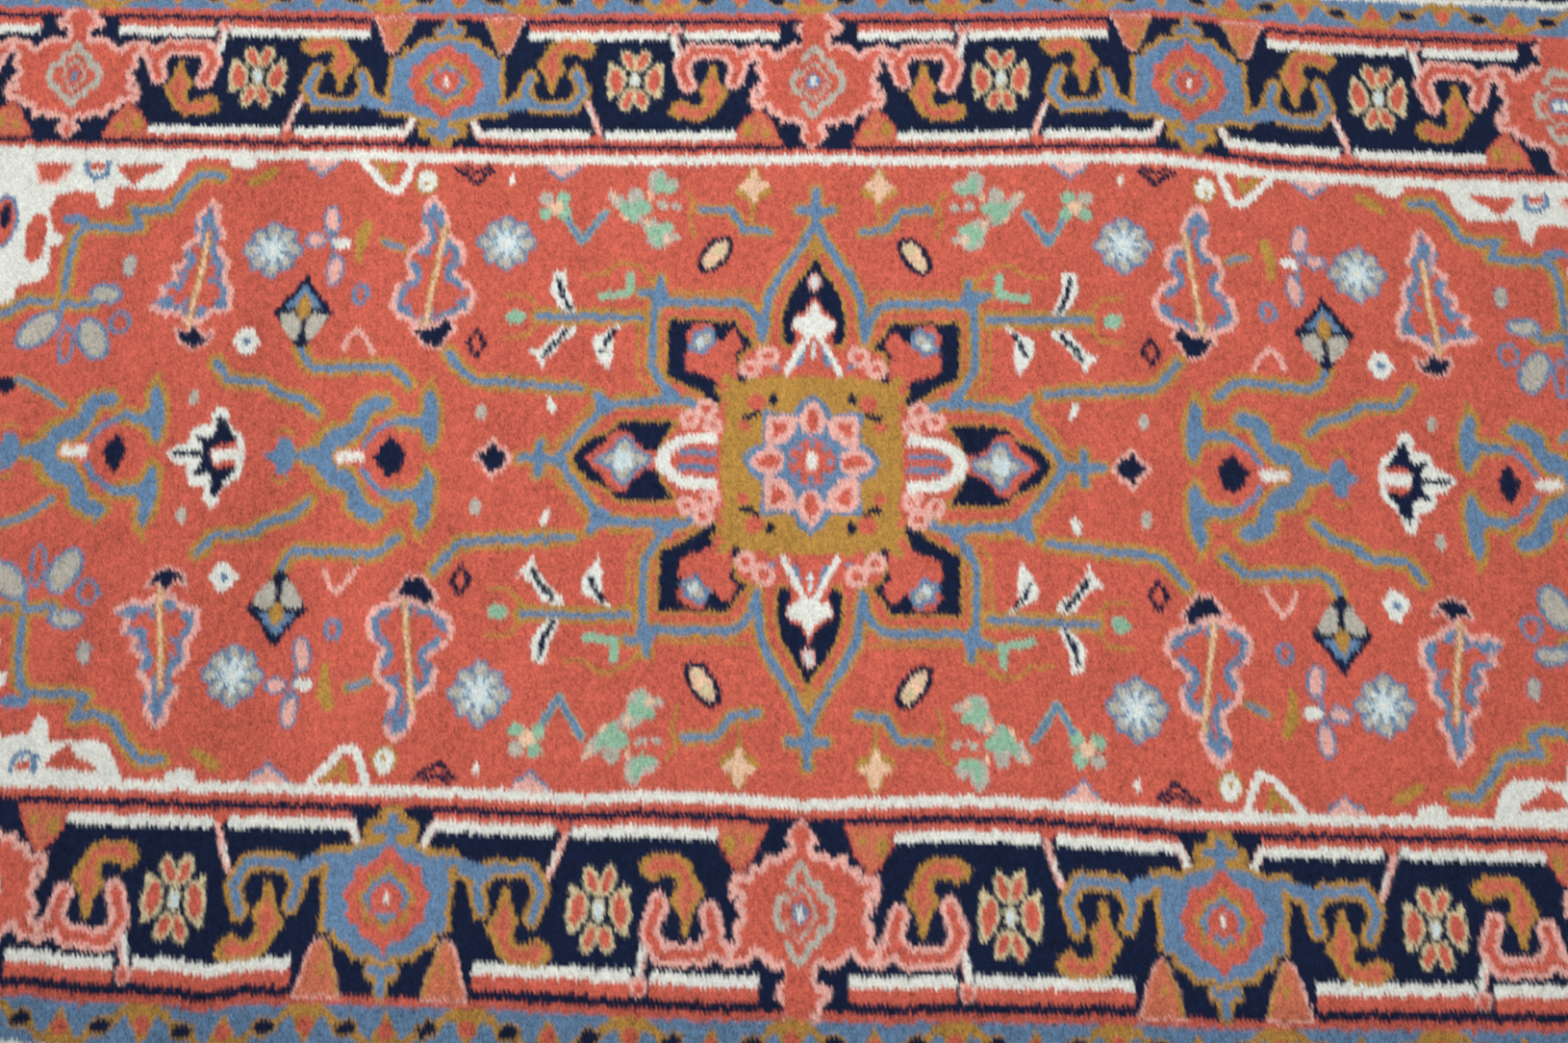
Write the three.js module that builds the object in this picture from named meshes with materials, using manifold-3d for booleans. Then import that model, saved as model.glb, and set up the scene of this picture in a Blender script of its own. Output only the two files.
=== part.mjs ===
// A hand-knotted wool runner of the Heriz kind, lying flat: the knotted body, an overcast
// selvedge along each long side, and a flat-woven strip with its warp fringe at each end.
// Millimetres, +Z up. X runs along the length, Y across, and the origin is under the middle.
import * as THREE from 'three';
import Module from 'manifold-3d';

const BODY_LENGTH = 1796;
const BODY_WIDTH = 772;
const BODY_THICKNESS = 11.6;
const PILE_ROUNDING = 6;
const EDGE_HEIGHT = 7.2;
const SURFACE_RIPPLE = 0.4;
const SEAM_GAP = 0.3;

const SELVEDGE_WIDTH = 7;
const SELVEDGE_HEIGHT = 6.4;

const END_STRIP_WIDTH = 14;
const END_STRIP_HEIGHT = 3;
const FRINGE_LENGTH = 46;
const FRINGE_UNEVENNESS = 4;
const LOCKS_PER_END = 95;
const LOCK_ROOT_WIDTH = 3.8;
const LOCK_TIP_WIDTH = 2.2;
const LOCK_ROOT_HEIGHT = 2.6;
const LOCK_TIP_HEIGHT = 1.4;
const LOCK_SWAY = 1.5;
const LOCK_ROOT_SUNK = 4;

// How far each long side wanders from a straight line, as a hand-woven edge does.
const SIDE_WANDER = [
  { x: -898, far: 0, near: 0 },
  { x: -560, far: -9, near: 0 },
  { x: -400, far: -9.5, near: 0.5 },
  { x: -200, far: -8.5, near: -1.5 },
  { x: 0, far: -3.5, near: -3.5 },
  { x: 100, far: -0.5, near: -3.5 },
  { x: 240, far: 4.5, near: -4.5 },
  { x: 400, far: -2.5, near: -2.5 },
  { x: 560, far: -6.5, near: -1.5 },
  { x: 898, far: 0, near: 0 },
];

const wasm = await Module();
wasm.setup();

const woolRed = new THREE.MeshStandardMaterial({ color: 0xb85443, roughness: 0.95, metalness: 0 });
const woolNavy = new THREE.MeshStandardMaterial({ color: 0x1f2c4a, roughness: 0.95, metalness: 0 });
const cottonIvory = new THREE.MeshStandardMaterial({ color: 0xd9d2c0, roughness: 0.9, metalness: 0 });

// One smooth curve through a column of the wander table: y = offset at a place x.
function wanderCurve(side) {
  const points = SIDE_WANDER.map((row) => new THREE.Vector2(row.x, row[side]));
  const samples = new THREE.SplineCurve(points).getPoints(240);
  return (x) => {
    const next = samples.findIndex((point) => point.x >= x);
    if (next <= 0) {
      return samples[0].y;
    }
    const before = samples[next - 1];
    const after = samples[next];
    return before.y + ((after.y - before.y) * (x - before.x)) / (after.x - before.x);
  };
}

const wander = { far: wanderCurve('far'), near: wanderCurve('near') };

// Where a long side of the body lies at x; the far side is at +Y.
function sideAt(side, x) {
  const sign = side === 'far' ? 1 : -1;
  return (sign * BODY_WIDTH) / 2 + wander[side](x);
}

// A closed solid through a row of closed sections with equal point counts.
function loft(sections) {
  const count = sections[0].length;
  const positions = sections.flat().flatMap((point) => [point.x, point.y, point.z]);
  const indices = [];
  for (let s = 0; s + 1 < sections.length; s += 1) {
    for (let k = 0; k < count; k += 1) {
      const a = s * count + k;
      const b = s * count + ((k + 1) % count);
      indices.push(a, b, b + count, a, b + count, a + count);
    }
  }
  const outline = sections[0].map((point) => new THREE.Vector2(point.y, point.z));
  const last = (sections.length - 1) * count;
  for (const [a, b, c] of THREE.ShapeUtils.triangulateShape(outline, [])) {
    indices.push(a, c, b);
    indices.push(last + a, last + b, last + c);
  }
  const geometry = new THREE.BufferGeometry();
  geometry.setAttribute('position', new THREE.Float32BufferAttribute(positions, 3));
  geometry.setIndex(indices);
  return geometry;
}

// Places along the length: an even run, with an odd number of bays so that none ends at x = 0.
function stations(half, bays) {
  return Array.from({ length: bays + 1 }, (_, i) => -half + (2 * half * i) / bays);
}

// The body's section at x: a flat back, sides that stand up from it, a rounded shoulder and a
// pile top that ripples slightly. The shoulder also comes down at the two ends.
function bodySection(x, drop) {
  const far = sideAt('far', x);
  const near = sideAt('near', x);
  const backMiddle = -100;
  const shoulder = [
    { inset: 0, height: EDGE_HEIGHT },
    { inset: 0.25 * PILE_ROUNDING, height: 0.65 * BODY_THICKNESS + 0.35 * EDGE_HEIGHT },
    { inset: PILE_ROUNDING, height: BODY_THICKNESS - SURFACE_RIPPLE },
  ];
  const topAt = (y) => BODY_THICKNESS - SURFACE_RIPPLE * (1 - Math.sin(x / 95) * Math.cos(y / 70)) / 2;
  const point = (y, z) => new THREE.Vector3(x, y, z - drop * (z > 0 ? 1 : 0));
  const section = [point(near, 0), point(backMiddle, 0), point(far, 0)];
  section.push(...shoulder.map(({ inset, height }) => point(far - inset, height)));
  section.push(...[240, 120, 0, -120, -240].map((y) => point(y, topAt(y))));
  section.push(...[...shoulder].reverse().map(({ inset, height }) => point(near + inset, height)));
  return section;
}

function pileBody() {
  const half = BODY_LENGTH / 2;
  const flatRun = stations(half - PILE_ROUNDING, 45).map((x) => bodySection(x, 0));
  const endDrop = BODY_THICKNESS - EDGE_HEIGHT;
  const ends = [
    { inset: 0, drop: endDrop },
    { inset: 0.25 * PILE_ROUNDING, drop: 0.4 * endDrop },
  ];
  const left = ends.map(({ inset, drop }) => bodySection(-half + inset, drop));
  const right = [...ends].reverse().map(({ inset, drop }) => bodySection(half - inset, drop));
  return loft([...left, ...flatRun, ...right]);
}

// The overcast cord along a long side: an eight-sided section that rests on a flat.
function selvedge(side) {
  const sign = side === 'far' ? 1 : -1;
  const flatTurn = Math.cos(Math.PI / 8);
  const sections = stations(BODY_LENGTH / 2, 45).map((x) => {
    const middle = sideAt(side, x) + sign * (SEAM_GAP + SELVEDGE_WIDTH / 2);
    return Array.from({ length: 8 }, (_, k) => {
      const angle = ((k + 0.5) * Math.PI) / 4;
      const y = middle + (SELVEDGE_WIDTH / 2 / flatTurn) * Math.cos(angle);
      const z = SELVEDGE_HEIGHT / 2 + (SELVEDGE_HEIGHT / 2 / flatTurn) * Math.sin(angle);
      return new THREE.Vector3(x, y, Math.max(z, 0));
    });
  });
  return loft(sections);
}

function toManifold(geometry) {
  const mesh = new wasm.Mesh({
    numProp: 3,
    vertProperties: new Float32Array(geometry.getAttribute('position').array),
    triVerts: new Uint32Array(geometry.getIndex().array),
  });
  return new wasm.Manifold(mesh);
}

function toGeometry(manifold) {
  const mesh = manifold.getMesh();
  const geometry = new THREE.BufferGeometry();
  geometry.setAttribute('position', new THREE.BufferAttribute(mesh.vertProperties, 3));
  geometry.setIndex(new THREE.BufferAttribute(mesh.triVerts, 1));
  return geometry;
}

// One lock of warp ends: a tapering three-sided strand that lies flat on the floor.
function fringeLock(index, end) {
  const pitch = (BODY_WIDTH - LOCK_ROOT_WIDTH - 6) / (LOCKS_PER_END - 1);
  const root = (index - (LOCKS_PER_END - 1) / 2) * pitch;
  const reach = FRINGE_LENGTH - FRINGE_UNEVENNESS * (0.5 + 0.5 * Math.sin(index * 2.7 + end));
  const lean = LOCK_SWAY * Math.sin(index * 1.9 + end);
  const curl = LOCK_SWAY * Math.sin(index * 0.83 + 2 * end);
  const sections = [0, 1 / 3, 2 / 3, 1].map((along) => {
    const x = along === 0 ? -LOCK_ROOT_SUNK : reach * along;
    const y = root + lean * Math.sin(along * 2.6) + curl * along * along;
    const half = (LOCK_ROOT_WIDTH + (LOCK_TIP_WIDTH - LOCK_ROOT_WIDTH) * along) / 2;
    const height = LOCK_ROOT_HEIGHT + (LOCK_TIP_HEIGHT - LOCK_ROOT_HEIGHT) * along;
    return [new THREE.Vector3(x, y - half, 0), new THREE.Vector3(x, y + half, 0), new THREE.Vector3(x, y, height)];
  });
  return loft(sections);
}

// The flat-woven strip at one end with its locks, built for the right end and turned for the left.
function endFringe(end) {
  const inner = BODY_LENGTH / 2 + SEAM_GAP;
  const outer = inner + END_STRIP_WIDTH;
  const half = BODY_WIDTH / 2 - 1;
  const section = (x) => [
    new THREE.Vector3(x, -half, 0),
    new THREE.Vector3(x, half, 0),
    new THREE.Vector3(x, half - 1, END_STRIP_HEIGHT),
    new THREE.Vector3(x, -half + 1, END_STRIP_HEIGHT),
  ];
  let solid = toManifold(loft([section(inner), section(outer)]));
  for (let i = 0; i < LOCKS_PER_END; i += 1) {
    const lock = fringeLock(i, end);
    lock.translate(outer, 0, 0);
    solid = solid.add(toManifold(lock));
  }
  const geometry = toGeometry(solid);
  if (end < 0) {
    geometry.rotateZ(Math.PI);
  }
  return geometry;
}

function piece(name, geometry, material) {
  const mesh = new THREE.Mesh(geometry, material);
  mesh.name = name;
  return mesh;
}

const rug = new THREE.Group();
rug.add(piece('pile_body', pileBody(), woolRed));
rug.add(piece('selvedge_far', selvedge('far'), woolNavy));
rug.add(piece('selvedge_near', selvedge('near'), woolNavy));
rug.add(piece('fringe_left', endFringe(-1), cottonIvory));
rug.add(piece('fringe_right', endFringe(1), cottonIvory));

export default rug;
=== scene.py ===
"""A hand-knotted wool runner of the Heriz kind, lying flat on a pale floor.

The knotted pile stands on a cotton foundation in five full-length strips. The long sides are
overcast with navy wool and the ends are woven plain, with the warps left as a short fringe.
The pattern is a chart, as a weaver would have it: each cell holds one dye, and the pile takes
its colours from the chart through vertex attributes that its material blends.
"""

from __future__ import annotations

import logging
import math
from dataclasses import dataclass, field
from enum import Enum, IntEnum
from typing import Iterable, Sequence

import bpy
import numpy as np
from mathutils import Matrix, Vector

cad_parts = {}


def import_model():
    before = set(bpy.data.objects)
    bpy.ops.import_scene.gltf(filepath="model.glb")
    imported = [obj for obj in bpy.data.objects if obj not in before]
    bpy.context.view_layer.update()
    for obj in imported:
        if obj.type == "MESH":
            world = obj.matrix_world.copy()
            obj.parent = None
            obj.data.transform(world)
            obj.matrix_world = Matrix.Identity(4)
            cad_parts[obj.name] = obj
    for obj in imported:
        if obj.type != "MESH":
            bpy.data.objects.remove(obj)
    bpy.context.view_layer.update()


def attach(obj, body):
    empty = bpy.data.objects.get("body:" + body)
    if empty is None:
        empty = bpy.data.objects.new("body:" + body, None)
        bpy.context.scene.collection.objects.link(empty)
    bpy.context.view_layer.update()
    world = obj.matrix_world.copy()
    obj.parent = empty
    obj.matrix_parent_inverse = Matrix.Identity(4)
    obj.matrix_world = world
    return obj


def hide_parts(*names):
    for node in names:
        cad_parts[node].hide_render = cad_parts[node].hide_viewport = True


log = logging.getLogger("runner")

MM = 0.001

Point = tuple[float, float]
Path = Sequence[Point]


def linear(code: str) -> tuple[float, float, float]:
    """One sRGB hex colour as linear light.

    Args:
        code: six hex digits.

    Returns:
        Red, green and blue from 0 to 1.
    """
    parts = [int(code[i : i + 2], 16) / 255 for i in (0, 2, 4)]
    return tuple(c / 12.92 if c <= 0.04045 else ((c + 0.055) / 1.055) ** 2.4 for c in parts)


class Dye(IntEnum):
    """The wool colours of the chart, in the order of the dye attributes."""

    FIELD = 0
    RUST = 1
    NAVY = 2
    IVORY = 3
    GOLD = 4
    BLUE = 5
    PINK = 6
    GREEN = 7
    TAUPE = 8
    PEACH = 9
    CREAM = 10
    MIST = 11


DYE_COLOUR = {
    Dye.FIELD: "c55d4c",
    Dye.RUST: "c36c50",
    Dye.NAVY: "111b36",
    Dye.IVORY: "dedfd5",
    Dye.GOLD: "b0833f",
    Dye.BLUE: "6280a0",
    Dye.PINK: "e2a99d",
    Dye.GREEN: "8cb598",
    Dye.TAUPE: "b2ac9f",
    Dye.PEACH: "e3ba9b",
    Dye.CREAM: "cbbb93",
    Dye.MIST: "c8d7d8",
}
DYE_ATTRIBUTES = ("dye_a", "dye_b", "dye_c", "dye_d")
BAND_ATTRIBUTE = "abrash"


@dataclass
class Chart:
    """A drawing on a grid of square cells, each of which holds one dye.

    low and high are its corners in millimetres, and ground is the dye it starts with.
    """

    low: Point
    high: Point
    ground: Dye
    cell: float = 0.8
    cells: np.ndarray = field(init=False)

    def __post_init__(self) -> None:
        """Makes the empty grid."""
        columns = math.ceil((self.high[0] - self.low[0]) / self.cell)
        rows = math.ceil((self.high[1] - self.low[1]) / self.cell)
        self.cells = np.full((rows, columns), int(self.ground), np.uint8)

    def _window(self, points: np.ndarray, margin: float) -> tuple:
        """The part of the grid round some points.

        Args:
            points: an array of x, y rows.
            margin: how far past them it reaches.

        Returns:
            The view of the cells, and the x and y of each cell's middle.
        """
        rows, columns = self.cells.shape
        first = np.floor((points.min(0) - margin - self.low) / self.cell).astype(int)
        last = np.ceil((points.max(0) + margin - self.low) / self.cell).astype(int)
        first = np.clip(first, 0, (columns, rows))
        last = np.clip(last, first, (columns, rows))
        x = self.low[0] + (np.arange(first[0], last[0]) + 0.5) * self.cell
        y = self.low[1] + (np.arange(first[1], last[1]) + 0.5) * self.cell
        view = self.cells[first[1] : last[1], first[0] : last[0]]
        return view, *np.meshgrid(x, y)

    def patch(self, dye: Dye, outline: Path, *rims: tuple[Dye, float]) -> None:
        """Fills a closed outline, inside rims of other dyes if they are given.

        A cell is inside where a ray along x crosses the outline an odd number of times.

        Args:
            dye: what fills it.
            outline: its corners.
            rims: a dye and how far it reaches in from the edge, the widest first.
        """
        points = np.array(outline, float)
        view, x, y = self._window(points, 1.0)
        inside = np.zeros(x.shape, bool)
        for a, b in zip(points, np.roll(points, -1, axis=0)):
            if a[1] != b[1]:
                between = (a[1] > y) != (b[1] > y)
                inside ^= between & (x < a[0] + (y - a[1]) * (b[0] - a[0]) / (b[1] - a[1]))
        view[inside] = dye
        if rims:
            away = _distance(np.vstack([points, points[:1]]), x, y)
            for rim, width in rims:
                view[inside & (away < width)] = rim

    def line(self, dye: Dye, width: float, path: Path, edge: Dye | None = None,
             edge_width: float = 3.0) -> None:
        """Draws a path of one width: the cells nearer to it than half the width.

        Args:
            dye: what it is drawn in.
            width: its width.
            path: its points in order.
            edge: the dye along both its sides, if it has edges.
            edge_width: how far the edges reach out from it.
        """
        points = np.array(path, float)
        view, x, y = self._window(points, width / 2 + edge_width)
        away = _distance(points, x, y)
        if edge is not None:
            view[away < width / 2 + edge_width] = edge
        view[away < width / 2] = dye

    def spot(self, dye: Dye, centre: Point, size: Point, turn: float = 0.0, rim: Dye | None = None,
             width: float = 2.5) -> None:
        """Fills an ellipse: the cells where the squared shares of its half axes add to less than 1.

        Args:
            dye: what fills it.
            centre: its middle.
            size: its width and height.
            turn: how far it is turned, in degrees.
            rim: the dye round it, if it has a rim.
            width: how far the rim reaches out from it.
        """
        reach = max(size) / 2 + width
        middle = np.array(centre, float)
        view, x, y = self._window(np.array([middle - reach, middle + reach]), 0.0)
        angle = math.radians(turn)
        along = (x - middle[0]) * math.cos(angle) + (y - middle[1]) * math.sin(angle)
        across = (y - middle[1]) * math.cos(angle) - (x - middle[0]) * math.sin(angle)
        if rim is not None:
            outer = (along / (size[0] / 2 + width)) ** 2 + (across / (size[1] / 2 + width)) ** 2
            view[outer < 1] = rim
        view[(along / (size[0] / 2)) ** 2 + (across / (size[1] / 2)) ** 2 < 1] = dye

    def band(self, dye: Dye, low: Point, high: Point) -> None:
        """Fills an upright rectangle."""
        self.patch(dye, [low, (high[0], low[1]), high, (low[0], high[1])])

    def at(self, x: np.ndarray, y: np.ndarray) -> np.ndarray:
        """The dye at each place, with places off the grid read at its edge.

        Args:
            x: places along, in millimetres.
            y: places across, in millimetres.

        Returns:
            The number of the dye at each.
        """
        rows, columns = self.cells.shape
        column = np.clip(((x - self.low[0]) / self.cell).astype(int), 0, columns - 1)
        row = np.clip(((y - self.low[1]) / self.cell).astype(int), 0, rows - 1)
        return self.cells[row, column]


def _distance(path: np.ndarray, x: np.ndarray, y: np.ndarray) -> np.ndarray:
    """How far each place lies from a path: the least of its distances to the path's pieces.

    Args:
        path: the path's points, as x, y rows.
        x: places along.
        y: places across.

    Returns:
        A distance for each place.
    """
    least = np.full(x.shape, np.inf)
    for a, b in zip(path, path[1:]):
        step = b - a
        length = float(step @ step) or 1.0
        along = np.clip(((x - a[0]) * step[0] + (y - a[1]) * step[1]) / length, 0, 1)
        least = np.minimum(least, np.hypot(x - a[0] - along * step[0], y - a[1] - along * step[1]))
    return least


def both_halves(half: Path, axis: float = 0.0) -> list[Point]:
    """A half outline with its mirror image across x = axis, as one closed outline."""
    return list(half) + [(2 * axis - x, y) for x, y in reversed(half)]


def flipped(path: Path) -> list[Point]:
    """A path reflected across the line y = 0."""
    return [(x, -y) for x, y in path]


def turned(path: Path) -> list[Point]:
    """A path of the border turned half round about the middle of a half repeat."""
    return [(HALF_REPEAT - x, 2 * BORDER_PIVOT - y) for x, y in path]


# Where things lie in the drawing, in millimetres from its two middle lines.
HALF_REPEAT = 264.0
REACH = 368.0
FIELD_EDGE = 216.0
BORDER_MIDDLE = 277.5
BORDER_PIVOT = 282.0
BORDER_TOP = 313.0
BORDER_MARGIN = 12.0
GUARD_LOW = 334.0
GUARD_HIGH = 356.0
GUARD_LINE_TOP = 361.0
GUARD_PERIOD = 101.0
GUARD_PHASE = 19.0

# Where the border turns across the rug's ends, how much wider it is there than along the sides,
# and how far the pattern's long axis lies from the middle of the rug.
END_TURN = 792.0
END_SCALE = 1.17
AXIS_OFFSET = 14.5

# The knotted body alone, without its selvedges and ends.
BODY_LENGTH = 1796.0
BODY_WIDTH = 772.0

# The near side is woven looser: drawing heights against where they lie from the axis.
NEAR_DRAWN = (0, 50, 100, 113, 150, 180, 198, 216, 222.5, 226.5, 230.5, 235, 241.5, 313.5, 320, 325, 329,
              334, 356, 361, 368)
NEAR_WOVEN = (0, 54, 105, 117, 154, 186, 204, 222.8, 229, 234.5, 239.5, 245, 252, 334, 341.2, 349.5, 356,
              361.5, 389, 395, 404)

# How far a line of the pattern wanders across the rug, in millimetres, against the place along it.
AXIS_WANDER = ((-898, 0), (-560, -3), (-400, -4), (-285, -3), (-200, -2), (0, 0), (200, -1), (285, -3),
               (400, -5), (500, -7), (898, 0))
FIELD_FAR_WANDER = ((-898, 0), (-560, -5), (-400, -4), (-300, -3), (-200, -4), (-100, -2), (0, 1),
                    (100, 1.5), (180, 6), (240, 6.5), (280, 2), (320, -4), (400, -8), (500, -9),
                    (600, -8), (898, 0))
BORDER_FAR_WANDER = ((-898, 0), (-560, -7), (-400, -6), (-280, -6), (-200, -5), (-100, -2), (0, 0),
                     (100, 3), (200, 7), (250, 8), (300, 3), (330, 0), (350, -1.5), (400, -3),
                     (450, -4.5), (500, -5.5), (530, -7), (898, 0))
FIELD_NEAR_WANDER = ((-898, 0), (-560, 2), (-290, 1), (-200, 0), (-150, -2), (-100, 1), (-50, 0), (0, -3),
                     (50, 0), (100, 2), (150, 1), (200, -2), (250, -5), (300, -6), (400, -6), (500, -5),
                     (898, 0))
BORDER_NEAR_WANDER = ((-898, 0), (-490, 6), (-450, 2), (-400, 2), (-370, -2), (-350, 3), (-310, 4),
                      (-200, 3), (-100, 0), (-50, -2), (0, 0), (50, -1), (100, 1), (200, 1), (250, 0),
                      (450, 2), (898, 0))

# Bands where a batch of dye came out lighter or darker: the place along, its reach and its strength.
ABRASH_BANDS = ((-480, 12, -0.06), (-380, 24, -0.08), (-295, 26, 0.05), (-700, 40, -0.06),
                (620, 35, 0.05), (760, 30, -0.06))

# The near guard is darker: where that starts across the rug, over how far, and its strength.
NEAR_GUARD_DARK_START = -338.0
NEAR_GUARD_DARK_FADE = 3.0
NEAR_GUARD_DARK_TONE = -0.2

# How much one knot's tone differs from the next one's.
KNOT_TONE = 0.07

# The share of a map for baking that stays empty beside each piece of it, along and across.
BAKE_MARGIN = (0.004, 0.01)

# The wander of the two long sides themselves, the same as the solid body has.
SIDE_PLACES = (-898, -560, -400, -200, 0, 100, 240, 400, 560, 898)
SIDE_FAR = (0, -9, -9.5, -8.5, -3.5, -0.5, 4.5, -2.5, -6.5, 0)
SIDE_NEAR = (0, 0, 0.5, -1.5, -3.5, -3.5, -4.5, -2.5, -1.5, 0)
SIDE_PIECES = 240


def wander(table: Sequence[Point], x: np.ndarray) -> np.ndarray:
    """A wander table read at x, linearly between its rows."""
    places, offsets = np.array(table, float).T
    return np.interp(x, places, offsets)


def smooth_side(offsets: Sequence[float], x: np.ndarray) -> np.ndarray:
    """A long side's wander at x: a uniform Catmull-Rom curve through its table, read in straight pieces.

    Args:
        offsets: the wander at each of SIDE_PLACES.
        x: places along the rug in millimetres.

    Returns:
        The wander across, in millimetres.
    """
    points = np.column_stack([SIDE_PLACES, offsets]).astype(float)
    last = len(points) - 1
    position = np.linspace(0, last, SIDE_PIECES + 1)
    index = np.minimum(position.astype(int), last)
    t = (position - index)[:, None]
    p0 = points[np.maximum(index - 1, 0)]
    p1 = points[index]
    p2 = points[np.minimum(index + 1, last)]
    p3 = points[np.minimum(index + 2, last)]
    v0 = (p2 - p0) / 2
    v1 = (p3 - p1) / 2
    curve = (2 * p1 - 2 * p2 + v0 + v1) * t**3 + (3 * p2 - 3 * p1 - 2 * v0 - v1) * t**2 + v0 * t + p1
    return np.interp(x, curve[:, 0], curve[:, 1])


@dataclass
class MedallionChart(Chart):
    """A chart that can draw the middle medallion, in the quarter where x and y are positive."""

    def draw_medallion(self) -> None:
        """Draws it from the outside inwards."""
        self._outlines()
        self._petals()
        self._corner_frame()
        self._square()
        self._star()

    def _outlines(self) -> None:
        """The light-blue line round it, its gold lines, and the small crosses on its points."""
        outer_gold = (
            ((40, 121), (98, 121)),
            ((120, 108), (120, 62), (110, 49)),
            ((116, 48), (134, 46)),
            ((148, 40), (158, 30), (170, 14), (178, 8)),
        )
        blue = (
            ((35, 86), (38, 100), (45, 109), (52, 112.5), (106, 113), (110, 108), (110, 66), (99, 48),
             (96, 42)),
            ((74, 36), (84, 41), (97, 42), (139, 39), (152, 24), (170, 2)),
            ((34, 92), (32, 116), (23, 134), (8, 156), (0, 172)),
            ((0, 168), (0, 196)),
            ((-12, 181), (12, 181)),
            ((168, 0), (196, 0)),
            ((183, -10), (183, 10)),
            ((107, 117), (106, 129)),
            ((107, 118), (120, 120)),
            ((140, 38), (147, 46)),
        )
        self.spot(Dye.GOLD, (0, 157), (13, 18))
        for path in outer_gold:
            self.line(Dye.GOLD, 2.6, path)
        for path in blue:
            self.line(Dye.GOLD, 10.8, path)
        for path in blue:
            self.line(Dye.BLUE, 5.4, path)
        self.spot(Dye.BLUE, (107, 116), (13, 15))
        self.spot(Dye.BLUE, (141, 38), (13, 13))
        self.spot(Dye.BLUE, (97, 45), (12, 11))
        self.spot(Dye.BLUE, (0, 181), (9, 16))
        self.spot(Dye.BLUE, (183, 0), (13, 9))

    def _petals(self) -> None:
        """The navy petal on each axis with what is in it."""
        top = [(0, 151), (7, 138), (15, 127), (21, 114), (24, 100), (23, 86), (21, 80)]
        self.patch(Dye.NAVY, both_halves(top), (Dye.GOLD, 2.2))
        self.patch(Dye.FIELD, both_halves([(0, 118), (6, 107), (13, 103), (16, 97), (12, 88), (14, 80)]))
        self.spot(Dye.MIST, (0, 128), (4.5, 9), rim=Dye.PINK, width=2.2)
        side = [(164, 0), (158, 9), (150, 16), (139, 20), (131, 28), (120, 29), (88, 29), (98, 14),
                (104, 0)]
        self.patch(Dye.NAVY, side + flipped(side[::-1]), (Dye.GOLD, 2.2))
        red = [(153, 0), (146, 6), (141, 10), (137, 17), (131, 21), (125, 20), (119, 12), (112, 7),
               (104, 6), (103, 0)]
        self.patch(Dye.FIELD, red + flipped(red[::-1]))
        flower = [(148, 0), (141, 4), (136, 6), (131, 15), (126, 17), (121, 13), (118, 7), (110, 5),
                  (106, 0)]
        self.patch(Dye.TAUPE, flower + flipped(flower[::-1]), (Dye.BLUE, 3))
        self.spot(Dye.MIST, (127, 2), (12, 9), turn=20)
        fleur = [(0, 114), (3, 108), (6, 103), (13, 101), (15, 97), (13, 93), (9, 91), (5, 88)]
        self.patch(Dye.IVORY, both_halves(fleur))
        self.line(Dye.BLUE, 3.6, [(7, 80), (10, 68)])
        self.line(Dye.IVORY, 4.2, [(3, 90), (13, 72), (18, 62)])
        self.line(Dye.MIST, 3, [(0, 82), (0, 74)])

    def _corner_frame(self) -> None:
        """The navy bracket between two petals, with the red ground and the small flower in it."""
        frame = [(53, 101), (102, 102), (102, 58), (92, 54), (78, 46), (64, 36), (59, 44), (64, 50),
                 (56, 56), (46, 51), (40, 50), (37, 58), (50, 66), (47, 76), (37, 80), (46, 90)]
        self.patch(Dye.NAVY, frame, (Dye.GOLD, 2.2))
        ground = [(53, 92), (58, 91), (62, 84), (66, 86), (70, 97), (82, 97), (88, 88), (84, 80),
                  (88, 74), (86, 64), (76, 60), (68, 57), (62, 50), (56, 53), (52, 58), (52, 68),
                  (54, 76), (48, 82)]
        self.patch(Dye.FIELD, ground)
        flower = [(66, 83), (67, 91), (73, 96), (77, 92), (84, 92), (83, 85), (87, 80), (80, 76),
                  (74, 74), (72, 79)]
        self.patch(Dye.TAUPE, flower, (Dye.BLUE, 3.2))
        self.spot(Dye.MIST, (77, 83), (7, 5), turn=40)

    def _square(self) -> None:
        """The gold square with its broken corners, the bits on it and the ivory arms beside it."""
        square = [(0, 60), (16, 58), (26, 61), (33, 57), (40, 60), (46, 57), (52, 52), (60, 50), (61, 44),
                  (57, 40), (61, 34), (58, 28), (61, 16), (61, 0), (0, 0)]
        self.patch(Dye.GOLD, square)
        self.line(Dye.GOLD, 7, [(50, 50), (59, 58)])
        self.spot(Dye.FIELD, (38, 41), (13, 11))
        self.spot(Dye.FIELD, (46, 24), (9, 7))
        self.spot(Dye.NAVY, (27, 43), (7, 9))
        self.spot(Dye.NAVY, (43, 31), (11, 4.5))
        self.spot(Dye.NAVY, (37, 34), (5, 4))
        arm = [(64, 19), (78, 19), (92, 16), (101, 9), (106, 0), (64, 0)]
        self.patch(Dye.IVORY, arm)
        self.patch(Dye.FIELD, [(61, 12), (84, 11), (93, 6), (96, 0), (61, 0)])
        self.line(Dye.BLUE, 4.2, [(66, 5), (88, 5)])
        self.line(Dye.PINK, 2.6, [(62, 21), (74, 22)])
        florets = (((31, 74), 8), ((43, 65), 7), ((72, 36), 7), ((83, 29), 6), ((67, 25), 5))
        for centre, size in florets:
            self.spot(Dye.PINK, centre, (size + 8, size + 7))
        for centre, size in florets:
            self.spot(Dye.FIELD, centre, (size, size - 1))
        self.spot(Dye.BLUE, (25, 66), (5, 4))

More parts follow.
